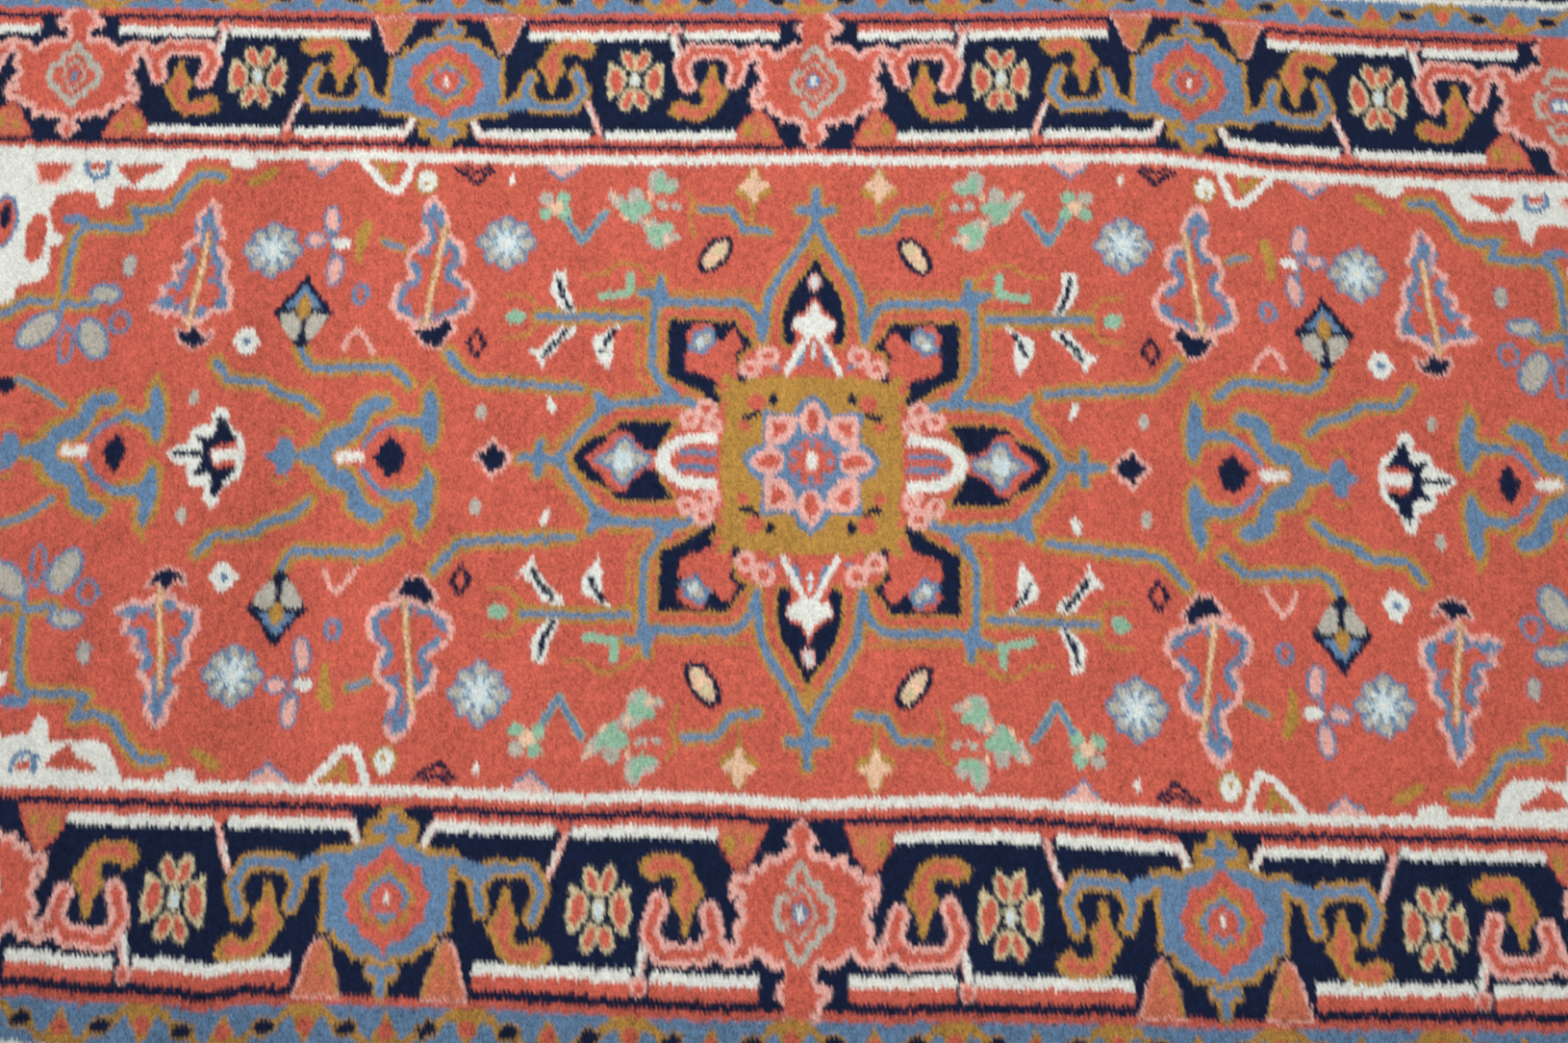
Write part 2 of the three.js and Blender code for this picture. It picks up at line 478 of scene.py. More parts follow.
    def _star(self) -> None:
        """The eight-petalled star in the middle."""
        base = [(0, 47), (9, 41), (13, 33), (34, 35), (33, 13), (41, 9), (47, 0), (0, 0)]
        self.patch(Dye.BLUE, base)
        axis_petal = [(0, 43), (6, 37), (10, 28), (6, 20), (0, 18)]
        core = [(0, 38), (3, 34), (5, 28), (3, 22), (0, 20)]
        self.patch(Dye.PINK, both_halves(axis_petal))
        self.patch(Dye.FIELD, both_halves(core))
        self.patch(Dye.PINK, [(y, x) for x, y in both_halves(axis_petal)])
        self.patch(Dye.FIELD, [(y, x) for x, y in both_halves(core)])
        self.patch(Dye.PINK, [(10, 31), (31, 32), (32, 10), (20, 11), (11, 20)])
        self.patch(Dye.FIELD, [(16, 26), (27, 28), (27, 16), (19, 19)])
        self.spot(Dye.FIELD, (0, 0), (31, 31), rim=Dye.BLUE, width=3)
        for spot in ((9, 9), (0, 12), (12, 0)):
            self.spot(Dye.BLUE, spot, (5, 5))
        self.spot(Dye.IVORY, (1, 1), (4.5, 9), rim=Dye.PINK, width=1.5)


@dataclass
class FieldChart(MedallionChart):
    """The red field with all that floats on it, drawn in the quarter where x and y are positive."""

    low: Point = (-30, -30)
    high: Point = (740, 222)
    ground: Dye = Dye.FIELD

    def draw(self) -> None:
        """Draws the medallion, then the motifs from it outwards along the rug."""
        self.draw_medallion()
        self._beside_medallion()
        self._bones()
        self._axis_flowers()
        self._stems()
        self._rosettes_and_leaves()
        self._small_flowers()
        self._edge_flowers()
        self._spandrel()

    def _beside_medallion(self) -> None:
        """Tulip, almond and the spray of green leaves."""
        self.line(Dye.GOLD, 3, [(43, 188), (45, 170)])
        self.line(Dye.BLUE, 4.4, [(32, 165), (50, 167), (59, 181), (80, 182)], edge=Dye.GOLD,
                  edge_width=2.6)
        self.spot(Dye.GOLD, (44, 196), (26, 14))
        self.spot(Dye.PEACH, (44, 199), (8, 25), rim=Dye.GOLD, width=2)
        self.spot(Dye.PEACH, (44, 199), (21, 9))
        self.spot(Dye.PEACH, (69, 148), (25, 11), turn=-54, rim=Dye.NAVY, width=4)
        self.spot(Dye.CREAM, (66, 152), (10, 7), turn=-54)
        self.spot(Dye.CREAM, (73, 142), (6, 5))
        pale = (((111, 203), (13, 19), 0), ((101, 200), (11, 10), 0), ((126, 191), (12, 15), 0),
                ((137, 187), (22, 9), 45), ((127, 177), (15, 11), 40), ((109, 160), (17, 15), 0),
                ((98, 161), (9, 6), 0), ((114, 170), (14, 11), 0), ((97, 184), (8, 5), 0),
                ((107, 185), (9, 6), 30))
        cores = (((105, 197), (15, 7), 0), ((110, 203), (6, 11), 0), ((122, 183), (16, 11), 0),
                 ((132, 183), (7, 12), -20), ((127, 175), (6, 8), 0), ((104, 168), (11, 7), 0),
                 ((111, 165), (13, 10), 0), ((109, 157), (6, 6), 0))
        for dye, leaves in ((Dye.TAUPE, pale), (Dye.GREEN, cores)):
            for centre, size, turn in leaves:
                self.spot(dye, centre, size, turn=turn)
        veins = (((116, 192), 80), ((133, 176), 40), ((141, 192), 50), ((117, 172), 70), ((103, 160), 0))
        for centre, turn in veins:
            self.spot(Dye.PEACH, centre, (8, 3.4), turn=turn)
        self.line(Dye.GOLD, 2.4, [(84, 162), (88, 175), (85, 188), (91, 196)])
        self.line(Dye.BLUE, 3.6, [(146, 180), (162, 157), (175, 178)], edge=Dye.GREEN, edge_width=1)
        for lobe, dye in (((188, 190), Dye.TAUPE), ((175, 179), Dye.GREEN), ((188, 178), Dye.GREEN),
                          ((176, 190), Dye.GREEN)):
            self.spot(dye, lobe, (10, 10))
        self.spot(Dye.PEACH, (181, 183), (10, 10))

    def _bones(self) -> None:
        """The light-blue bar with the ivory bones across it and the green bits beside them."""
        self.line(Dye.BLUE, 5, [(119, 102), (189, 102)], edge=Dye.GOLD, edge_width=3.6)
        self.spot(Dye.GREEN, (205, 101), (14, 11))
        self.line(Dye.GOLD, 2.6, [(190, 108), (197, 117), (212, 118)])
        self.line(Dye.GOLD, 2.6, [(190, 95), (197, 87), (212, 86)])
        self.line(Dye.GREEN, 6, [(127, 133), (127, 120), (146, 117)])
        self.line(Dye.GOLD, 2.8, [(112, 128), (120, 139), (135, 142), (146, 133), (160, 133)])
        bones = (
            [(180, 134), (172, 136), (170, 122), (163, 106), (170, 105), (177, 112), (182, 122)],
            [(163, 95), (163, 90), (172, 84), (178, 75), (183, 70), (184, 62), (188, 70), (195, 77),
             (187, 78), (180, 86), (175, 94)],
            [(130, 98), (137, 88), (137, 75), (140, 62), (147, 72), (151, 80), (150, 88), (143, 90),
             (135, 96)],
        )
        for bone in bones:
            self.patch(Dye.IVORY, bone)
        for marrow in ([(176, 129), (174, 119), (168, 108)], [(184, 73), (178, 82), (169, 91)],
                       [(145, 77), (142, 84), (136, 92)]):
            self.line(Dye.NAVY, 3.6, marrow)
        self.patch(Dye.NAVY, [(230.5, 93), (238.5, 81), (230.5, 69), (222.5, 81)])
        self.patch(Dye.FIELD, [(230.5, 88), (234.5, 81), (230.5, 74), (226.5, 81)])
        self.spot(Dye.IVORY, (177, 38), (5, 13), turn=-20)
        self.spot(Dye.TAUPE, (224, 32), (7, 11))
        self.spot(Dye.TAUPE, (419, 40), (7, 11))

    def _axis_flowers(self) -> None:
        """The row along the axis: a cross, palmettes with light-blue arms, and ivory-edged flowers."""
        bud = [(201, 0), (207, 9), (211, 9), (214, 15), (219, 11), (221, 7), (228, 2), (228, -2),
               (221, -7), (219, -11), (214, -15), (211, -9), (207, -9)]
        self.patch(Dye.NAVY, bud, (Dye.PINK, 2.6))
        for start, heart in ((284, 0.85), (469, 0.6), (654, 0.75)):
            self._palmette(start, heart)
        for centre in (355, 540):
            cross = [(-17, 0), (-8, 2), (-6, 8), (-2, 13), (4, 12), (5, 5), (9, 3), (15, 0)]
            self.patch(Dye.BLUE, [(centre + x, y) for x, y in cross])
            self.line(Dye.GOLD, 2.4, [(centre - 6, 14), (centre, 19), (centre + 6, 15)])
        outline = [(400, 35), (395, 31), (394, 23), (388, 17), (382, 13), (381, 0), (434, 0), (430, 4),
                   (424, 7), (419, 8), (419, 13), (416, 19), (409, 21), (405, 20), (406, 28), (403, 34)]
        body = [(385, 9), (391, 15), (394, 22), (399, 29), (402, 25), (402, 15), (405, 12), (414, 14),
                (416, 12), (410, 7), (409, 3), (409, 0), (401, 0), (402, 5), (397, 9), (390, 8)]
        gap = [(386, 8), (397, 9), (402, 5), (403, 0), (385, 0)]
        for shift in (0, 188):
            self.patch(Dye.IVORY, [(x + shift, y) for x, y in outline])
            self.patch(Dye.NAVY, [(x + shift, y) for x, y in body])
            self.line(Dye.NAVY, 4.4, [(404 + shift, 0), (420 + shift, 0)])
            self.line(Dye.NAVY, 3.4, [(421 + shift, 0), (429 + shift, 0)])
            self.patch(Dye.FIELD, [(x + shift, y) for x, y in gap])
            self.line(Dye.IVORY, 6.5, [(384 + shift, 0), (400 + shift, 0)], edge=Dye.PINK, edge_width=1)

    def _palmette(self, start: float, heart_width: float) -> None:
        """One palmette on the axis.

        Args:
            start: where its navy heart lies along the rug.
            heart_width: the heart's width, as a share of 28 mm.
        """

        def shifted(*path: Point) -> list[Point]:
            """The path moved along to this palmette."""
            return [(x + start - 284, y) for x, y in path]

        arm = shifted((284, 37), (290, 43), (300, 41), (309, 34), (310, 23), (318, 21), (327, 16),
                      (332, 7), (345, 3), (345, -1), (323, -1), (321, 6), (309, 10), (302, 20), (297, 31),
                      (289, 33))
        bar = shifted((259, 49), (254, 40), (252, 26), (253, 12), (258, 7), (261, 16), (266, 21),
                      (278, 22), (284, 26), (277, 29), (267, 27), (262, 33), (264, 42))
        for part in (arm, bar):
            self.line(Dye.GOLD, 7.4, part + part[:1])
        for part in (arm, bar):
            self.patch(Dye.BLUE, part)
        self.line(Dye.BLUE, 4.4, shifted((301, 8), (296, 16), (288, 22), (280, 25)))
        self.line(Dye.GOLD, 2.6, shifted((266, 40), (264, 50), (257, 57)))
        self.line(Dye.GOLD, 2.6, shifted((322, 24), (330, 20), (337, 11)))
        heart = [(-14, 3), (-9, 6), (-11, 10), (-4, 11), (-1, 14), (2, 12), (4, 9), (8, 7), (9, 3),
                 (14, 0), (-12, 0)]
        self.patch(Dye.NAVY, shifted(*[(284 + heart_width * x, y) for x, y in heart]))
        self.line(Dye.IVORY, 6, shifted((304, 0), (316, 0)), edge=Dye.PINK, edge_width=1.2)

    def _stems(self) -> None:
        """Light-blue vines with gold edges."""
        stems = (
            [(249, 74), (240, 63), (231, 55), (198, 53), (158, 50)],
            [(350, 76), (345, 66), (338, 62), (288, 64), (279, 56), (274, 52)],
            [(406, 65), (397, 53), (372, 51), (360, 43), (345, 39), (335, 30)],
        )
        for stem in stems:
            self.line(Dye.BLUE, 4.8, stem, edge=Dye.GOLD, edge_width=3.8)
        self.patch(Dye.GOLD, [(307, 168), (313, 171), (319, 160), (318, 141), (313, 137), (312, 150)])
        self.line(Dye.BLUE, 3.5, [(286, 150), (299, 155)], edge=Dye.GOLD, edge_width=2)

    def _rosettes_and_leaves(self) -> None:
        """Eight-petalled rosettes, and pink-edged leaves on navy feet."""
        for centre in ((214, 156), (375, 148), (612, 152)):
            self._rosette(centre)
        left = [(262, 92), (248, 97), (236, 104), (232, 116), (238, 127), (247, 133), (241, 143),
                (243, 155), (252, 160), (254, 172), (260, 184), (267, 190)]
        right = [(274, 182), (274, 168), (271, 158), (281, 150), (284, 140), (280, 130), (289, 122),
                 (292, 108), (286, 99), (274, 95)]
        self._leaf(left + right, [(266, 94), (264, 115), (261, 135), (257, 166)])
        foot = [(246, 92), (252, 99), (257, 94), (263, 92), (275, 92), (270, 87), (266, 80), (256, 79),
                (252, 85)]
        self.line(Dye.PINK, 4.4, foot + foot[:1])
        self.patch(Dye.NAVY, foot)
        second = [(421, 185), (414, 179), (413, 167), (408, 160), (410, 147), (403, 139), (405, 127),
                  (399, 118), (400, 102), (411, 100), (419, 93), (430, 92), (436, 99), (447, 98),
                  (458, 104), (449, 112), (452, 120), (442, 124), (444, 134), (436, 139), (438, 151),
                  (430, 156), (431, 173)]
        self._leaf(second, [(428, 92), (426, 110), (423, 130), (421, 158)])
        foot = [(411, 88), (416, 82), (424, 91), (428, 86), (436, 88), (432, 79), (426, 76), (414, 79)]
        self.line(Dye.PINK, 3.6, foot + foot[:1])
        self.patch(Dye.NAVY, foot)

    def _leaf(self, outline: Path, rib: Path) -> None:
        """One leaf: a pink edge, broken light-blue veins inside it, and a peach rib with gold edges.

        The line inside the edge is broken 8 mm in from every third corner, and a vein runs from
        6 mm to 13 mm in from every other corner.

        Args:
            outline: the leaf's corners.
            rib: the line down its middle.
        """
        self.patch(Dye.FIELD, outline, (Dye.BLUE, 8.8), (Dye.PINK, 4.2))
        heart = np.mean(rib, axis=0)
        for index, corner in enumerate(np.array(outline, float)):
            inward = (heart - corner) / np.linalg.norm(heart - corner)
            if index % 3 == 0:
                self.spot(Dye.FIELD, tuple(corner + 8.0 * inward), (6.5, 6.5))
            if index % 2 == 0:
                self.line(Dye.BLUE, 3.0, [tuple(corner + 6 * inward), tuple(corner + 13 * inward)])
        self.line(Dye.PEACH, 2.6, rib, edge=Dye.GOLD, edge_width=1.2)

    def _rosette(self, centre: Point) -> None:
        """A round flower of eight pale petals with light-blue edges, and a pale vein down each petal.

        Args:
            centre: the flower's middle.
        """
        x, y = centre
        self.spot(Dye.BLUE, centre, (34, 34))
        for step in range(8):
            angle = step * math.pi / 4
            reach = 11.5 if step % 2 else 13
            spot = (x + reach * math.cos(angle), y + reach * math.sin(angle))
            self.spot(Dye.TAUPE, spot, (12, 8.6), turn=math.degrees(angle), rim=Dye.BLUE, width=2.2)
        for step in range(8):
            angle = step * math.pi / 4
            self.line(Dye.MIST, 3, [centre, (x + 11 * math.cos(angle), y + 11 * math.sin(angle))])
        self.spot(Dye.MIST, centre, (12, 12))
        self.spot(Dye.IVORY, centre, (5, 7), turn=30)

    def _small_flowers(self) -> None:
        """The pointed lozenge flower, the cross flower, and small bits between them."""
        lozenge = [(350, 130), (360, 115), (371, 102), (361, 89), (354, 78), (350, 75), (346, 78),
                   (339, 89), (329, 102), (340, 115)]
        self.patch(Dye.NAVY, lozenge)
        self.patch(Dye.BLUE, [(350, 122), (356, 114), (363, 105), (337, 105), (344, 114)])
        self.patch(Dye.GOLD, [(350, 116), (355, 109), (354, 101), (350, 97), (346, 101), (345, 109)])
        for side in (-1, 1):
            petal = [(2, 98), (8, 102), (16, 100), (14, 92), (9, 85), (4, 82), (2, 88)]
            self.patch(Dye.TAUPE, [(350 + side * x, y) for x, y in petal])
        self.line(Dye.NAVY, 2.4, [(336, 103), (345, 103)])
        self.line(Dye.NAVY, 2.4, [(355, 103), (364, 103)])
        self.spot(Dye.IVORY, (387, 81), (14, 20))
        self.spot(Dye.IVORY, (387, 81), (19, 10))
        self.spot(Dye.BLUE, (387, 81), (6, 6))
        self.line(Dye.PINK, 3.5, [(300, 73), (306, 84), (312, 90), (318, 84), (321, 75)])
        self.spot(Dye.FIELD, (312, 116), (6, 9), rim=Dye.BLUE, width=3.4)
        petals = (((331, 133), (8, 20), 8), ((336, 170), (8, 20), -8), ((346, 155), (12, 7), 0))
        for centre, size, turn in petals:
            self.spot(Dye.PINK, centre, size, turn=turn, rim=Dye.BLUE, width=2.2)
        self.line(Dye.BLUE, 2.6, [(333, 143), (336, 162)])
        self.spot(Dye.IVORY, (328, 153), (13, 8))
        self.spot(Dye.IVORY, (213, 204), (4, 8))

    def _edge_flowers(self) -> None:
        """Half flowers, the ivory hook and other things that hang from the inner line of the border."""
        half = [(162, 220), (192, 220), (188, 211), (182, 208), (178, 203), (174, 208), (168, 211)]
        for shift in (0, 168):
            self.patch(Dye.BLUE, [(x + shift, y - 1.5) for x, y in half])
            self.patch(Dye.PINK, [(x + shift, y + 1.5) for x, y in half])
        self.line(Dye.NAVY, 3.4, [(226, 210), (232, 206), (236, 200), (242, 204), (252, 211)])
        self.line(Dye.NAVY, 3, [(229, 213), (238, 208), (246, 212)])
        self.line(Dye.IVORY, 5.4, [(318, 214), (309, 205), (300, 195), (291, 193), (286, 204),
                                   (283, 214)])
        self.line(Dye.GOLD, 4.5, [(296, 216), (299, 203), (309, 214)])
        self.spot(Dye.GOLD, (272, 200), (17, 19))
        self.spot(Dye.IVORY, (272, 201), (13, 16))
        self.spot(Dye.GOLD, (273, 199), (4, 5))
        self.spot(Dye.IVORY, (402, 213), (20, 9))
        self.spot(Dye.GOLD, (387, 202), (25, 8), turn=-32)

    def _spandrel(self) -> None:
        """The ivory corner with its vine, and the sprays along it to the field's pointed end."""
        vine = [(415, 203), (430, 204), (441, 191), (449, 178), (462, 175), (475, 177), (468, 164),
                (478, 162), (506, 163), (512, 156), (515, 140), (516, 106), (540, 108), (552, 98),
                (580, 94), (596, 80), (628, 76), (646, 60), (676, 56), (690, 34), (704, 26), (710, 0)]
        self.line(Dye.BLUE, 4.8, vine, edge=Dye.GOLD, edge_width=3.6)
        self.line(Dye.BLUE, 4.8, [(496, 105), (516, 106)], edge=Dye.GOLD, edge_width=3.6)
        self.line(Dye.BLUE, 4.6, [(516, 106), (516, 94)])
        self.spot(Dye.BLUE, (514, 168), (20, 8))
        ivory = [(438, 220), (443, 209), (449, 197), (455, 192), (482, 193), (489, 193), (491, 180),
                 (498, 176), (503, 189), (516, 190), (529, 187), (533, 174), (529, 160), (521, 156),
                 (521, 150), (529, 148), (528, 130), (534, 122), (548, 119), (551, 106), (560, 104),
                 (566, 120), (590, 116), (600, 98), (622, 98), (634, 86), (658, 84), (668, 66), (694, 62),
                 (704, 40), (730, 36), (730, 220)]
        self.patch(Dye.IVORY, ivory)
        self.patch(Dye.FIELD, [(533, 170), (543, 172), (548, 160), (546, 140), (540, 133), (534, 140)])
        self.patch(Dye.FIELD, [(491, 210), (454, 212), (463, 205), (470, 202), (477, 195), (485, 202)])
        self.line(Dye.BLUE, 3.6, [(496, 212), (496, 203), (504, 200), (511, 205), (511, 212)])
        self.patch(Dye.FIELD, [(498, 212), (499, 206), (508, 206), (509, 212)])
        self.patch(Dye.PINK, [(548, 210), (518, 210), (524, 201), (530, 195), (544, 195)])
        self.patch(Dye.FIELD, [(546, 211), (521, 211), (527, 203), (532, 198), (541, 198)])
        self.spot(Dye.FIELD, (564, 166), (15, 34), rim=Dye.BLUE, width=3)
        self.spot(Dye.NAVY, (563, 170), (7, 20))
        for centre in ((596, 186), (628, 148), (672, 112)):
            self.spot(Dye.FIELD, centre, (18, 18), rim=Dye.BLUE, width=3)
            self.spot(Dye.IVORY, centre, (6, 6))
        for path in ([(608, 214), (616, 194), (634, 190)], [(652, 210), (658, 176), (680, 168)],
                     [(694, 214), (698, 182), (712, 164)]):
            self.line(Dye.GOLD, 3, path)
            self.spot(Dye.FIELD, path[-1], (11, 14), rim=Dye.BLUE, width=2)
        petals = (((530, 86), (30, 15), -41), ((492, 80), (28, 15), 62), ((487, 113), (19, 9), 0),
                  ((596, 58), (26, 12), -30), ((644, 40), (24, 11), -30))
        for centre, size, turn in petals:
            self.spot(Dye.TAUPE, centre, size, turn=turn, rim=Dye.BLUE, width=3)
        self.spot(Dye.FIELD, (475, 93), (10, 12), rim=Dye.BLUE, width=3)
        self.spot(Dye.FIELD, (510, 76), (6, 24), rim=Dye.BLUE, width=3)
        self.spot(Dye.TAUPE, (473, 135), (8, 14), rim=Dye.BLUE, width=1)
        self.line(Dye.BLUE, 4, [(540, 50), (520, 42), (506, 32)], edge=Dye.GOLD, edge_width=2)
        self.spot(Dye.NAVY, (548, 46), (17, 12))


class BorderLine(Enum):
    """The two lines of the border that a stepped arm can belong to."""

    OUTER = "outer"
    INNER = "inner"


@dataclass
class BorderChart(Chart):
    """The main border with its lines, as half a repeat along and the full width across."""

    low: Point = (-BORDER_MARGIN, 210)
    high: Point = (HALF_REPEAT + BORDER_MARGIN, REACH + 12)
    ground: Dye = Dye.NAVY

    def draw(self) -> None:
        """Draws the stripes first, then what crosses them."""
        self._stripes()
        self._rosette()
        for line in BorderLine:
            self._bracket(line)
        self._buds()
        self._red_palmette()
        self._blue_palmette()

    def _stripes(self) -> None:
        """Lines and grounds from height to height, and the short lines between the palmettes."""
        stripes = ((FIELD_EDGE, Dye.IVORY), (222.5, Dye.FIELD), (226.5, Dye.NAVY), (230.5, Dye.NAVY),
                   (313.5, Dye.NAVY), (329, Dye.FIELD), (GUARD_LOW, Dye.BLUE), (GUARD_HIGH, Dye.IVORY),
                   (GUARD_LINE_TOP, Dye.NAVY))
        tops = [low for low, _ in stripes[1:]] + [REACH + 10]
        for (low, dye), top in zip(stripes, tops):
            self.band(dye, (-20, low), (HALF_REPEAT + 20, top))
        for start, end in ((28, 96), (108, 207)):
            self.band(Dye.IVORY, (start, 313.5), (end, 320))
            self.band(Dye.FIELD, (start, 320), (end, 325))
        for start, end in ((57, 150), (160, 238)):
            self.band(Dye.FIELD, (start, 230.5), (end, 235))
            self.band(Dye.IVORY, (start, 235), (end, 241.5))
        self.line(Dye.IVORY, 3.6, [(104, 318), (103, 308), (99, 296)])
        self.line(Dye.PINK, 2, [(101, 314), (98, 300)])
        self.line(Dye.PINK, 4.4, [(153, 238), (157, 250), (163, 264)])
        self.line(Dye.IVORY, 2, [(158, 250), (162, 260)])
        self.spot(Dye.PINK, (103, 321), (11, 9))
        self.spot(Dye.FIELD, (103, 322), (6, 5))
        self.spot(Dye.FIELD, (155, 234), (10, 8))

    def _rosette(self) -> None:
        """The round flower between the palmettes: red petals with cream edges, split above."""
        x, y = 130.0, 281.0
        for side in (-1, 1):
            self.spot(Dye.FIELD, (x + side * 13.5, y), (9, 18), turn=-8 * side, rim=Dye.CREAM, width=2.4)
            for level in (-1, 1):
                lobe = (x + side * 4.8, y + level * 15.5)
                self.spot(Dye.FIELD, lobe, (6, 13), turn=-22 * side * level, rim=Dye.CREAM, width=2.2)
                self.spot(Dye.CREAM, (x + side * 17, y + level * 11), (5, 6))
        for side in (-1, 1):
            for level in (-1, 1):
                self.line(Dye.NAVY, 2.2, [(x + side * 5, y + level * 5), (x + side * 11, y + level * 13)])
            self.line(Dye.NAVY, 1.8, [(x, y + side * 18), (x, y + side * 26)])
        self.spot(Dye.MIST, (x, y), (5.5, 10), rim=Dye.CREAM, width=1.4)

    def _bracket(self, place: BorderLine) -> None:
        """The stepped arm and the boot-shaped leaf below it.

        Args:
            place: OUTER for the pink one beside the red palmette, INNER for the gold one beside
                the light-blue palmette, which is the same drawing turned half round.
        """
        arm = [(60, 280), (56, 292), (64, 303), (90, 304), (98, 292), (92, 277)]
        joint = [(46, 303), (58, 297)]
        outer = [(73, 293), (77, 293), (79, 283), (85, 275), (81, 268), (83, 261), (91, 262), (96, 266),
                 (104, 262), (106, 255), (97, 250), (80, 250), (72, 255), (68, 264), (63, 270), (70, 280)]
        inner = [(75, 287), (79, 277), (81, 274), (78, 266), (79, 259), (90, 259), (96, 263), (102, 259),
                 (96, 252), (82, 252), (75, 257), (71, 266), (67, 271), (72, 278)]
        vein = [(74, 279), (74, 264), (81, 255), (98, 257)]
        rim, rim_width, core, core_width = Dye.PINK, 12.6, Dye.FIELD, 5.6
        if place is BorderLine.INNER:
            arm, joint, outer, inner, vein = (turned(path) for path in (arm, joint, outer, inner, vein))
            rim, rim_width, core, core_width = Dye.GOLD, 11.2, Dye.BLUE, 5.2
        for path in (arm, joint):
            self.line(rim, rim_width, path)
        for path in (arm, joint):
            self.line(core, core_width, path)
        self.patch(Dye.GOLD, outer)
        self.patch(Dye.RUST, inner)
        self.line(Dye.FIELD, 3.2, vein)

    def _buds(self) -> None:
        """The triangular buds that stand on the inner line and hang from the outer one."""
        inner = [(24, 231), (30, 245), (38, 256), (41, 260), (50, 252), (56, 243), (57, 231)]
        outer = [(208, 331), (213, 322), (218, 308), (222, 302), (228, 302), (234, 316), (240, 331)]
        self.line(Dye.PINK, 4, [(41, 258), (46, 272)])
        self.patch(Dye.RUST, inner, (Dye.FIELD, 2.4))
        self.spot(Dye.GOLD, (49, 243), (8, 11))
        self.spot(Dye.GOLD, (36, 240), (6, 6))
        self.patch(Dye.RUST, outer, (Dye.PINK, 1.6))
        self.line(Dye.GOLD, 2.4, [(237, 328), (232, 316), (227, 304)])
        self.spot(Dye.GOLD, (226, 318), (5, 7))

    def _red_palmette(self) -> None:
        """The large red palmette at the start of the repeat."""
        self.band(Dye.NAVY, (-26, 310), (24, 329))
        half = [(-3, 334), (11, 333), (12, 327), (18, 324), (16, 318), (9, 317), (9, 309), (18, 311),
                (24, 307), (30, 301), (35, 308), (47, 308), (50, 299), (43, 295), (46, 288), (40, 282),
                (45, 276), (41, 271), (49, 267), (46, 259), (36, 260), (35, 253), (28, 254), (26, 247),
                (17, 249), (14, 245), (7, 247), (4, 243), (9, 239), (3, 232), (-3, 227)]
        self.patch(Dye.FIELD, both_halves(half, axis=-3), (Dye.PINK, 4))
        self.patch(Dye.FIELD, both_halves([(-3, 334), (4, 333), (4, 318), (3, 306), (-3, 300)], axis=-3))
        self.spot(Dye.FIELD, (-3, 236), (11, 11))
        ring = [(-3, 252), (2, 258), (3, 263), (9, 264), (10, 270), (16, 272), (18, 280), (16, 287),
                (10, 289), (9, 296), (3, 298), (2, 302), (-3, 307)]
        inner = [(-3, 265), (3, 271), (8, 280), (3, 289), (-3, 295)]
        for path, width in ((ring, 4.4), (inner, 1.8)):
            closed = both_halves(path, axis=-3)
            self.line(Dye.TAUPE, width, closed + closed[:1])
        self.spot(Dye.IVORY, (-3, 280), (5, 7), rim=Dye.BLUE, width=2.6)

    def _blue_palmette(self) -> None:
        """The light-blue palmette in the middle of the repeat, with its feet and finial."""
        middle = HALF_REPEAT

        def round_middle(*path: Point) -> list[Point]:
            """The closed outline whose one half is given as distances from the middle."""
            return both_halves([(middle - x, y) for x, y in path], axis=middle)

        self.band(Dye.NAVY, (240, 226.5), (middle + 20, 241.5))
        self.line(Dye.IVORY, 4, [(238, 238), (243, 249)], edge=Dye.PINK, edge_width=1)
        self.line(Dye.BLUE, 5, [(middle, 315), (middle, 327)], edge=Dye.GOLD, edge_width=2)
        self.line(Dye.BLUE, 5, [(middle - 7, 319), (middle + 7, 319)], edge=Dye.GOLD, edge_width=2)
        self.line(Dye.BLUE, 5, [(middle, 313), (middle, 325)])
        body = round_middle((0, 318), (9, 314), (20, 314), (24, 308), (32, 305), (34, 299), (42, 298),
                            (41, 284), (43, 270), (41, 262), (46, 260), (44, 251), (26, 251),
                            (17, 247), (0, 245))
        self.patch(Dye.BLUE, body, (Dye.GOLD, 3.6))
        for side in (-1, 1):
            self.line(Dye.BLUE, 5.4, [(middle + side * 38, 257), (middle + side * 60, 262)])
            self.spot(Dye.BLUE, (middle + side * 34, 292), (9, 12))
        ground = round_middle((0, 311), (5, 304), (14, 302), (18, 294), (25, 291), (24, 283), (28, 276),
                              (22, 270), (20, 261), (12, 260), (5, 254), (0, 247))
        self.patch(Dye.FIELD, ground)
        ring = round_middle((0, 299), (5, 293), (14, 292), (15, 284), (20, 279), (14, 273), (12, 266),
                            (6, 266), (0, 259))
        self.patch(Dye.FIELD, ring, (Dye.BLUE, 6.4), (Dye.GOLD, 3.0))
        for spot in ((-15, 272), (13, 290), (-9, 288), (16, 278)):
            self.spot(Dye.FIELD, (middle + spot[0], spot[1]), (5, 5))
        self.spot(Dye.IVORY, (middle, 279), (4, 8), rim=Dye.FIELD, width=1.4)
        foot = round_middle((0, 249), (15, 248), (18, 240), (15, 235), (9, 234), (7, 228), (0, 228))
        self.patch(Dye.GOLD, foot)
        self.line(Dye.BLUE, 5, [(middle - 9, 240), (middle + 9, 240)])
        self.line(Dye.BLUE, 6, [(middle, 248), (middle, 234)])


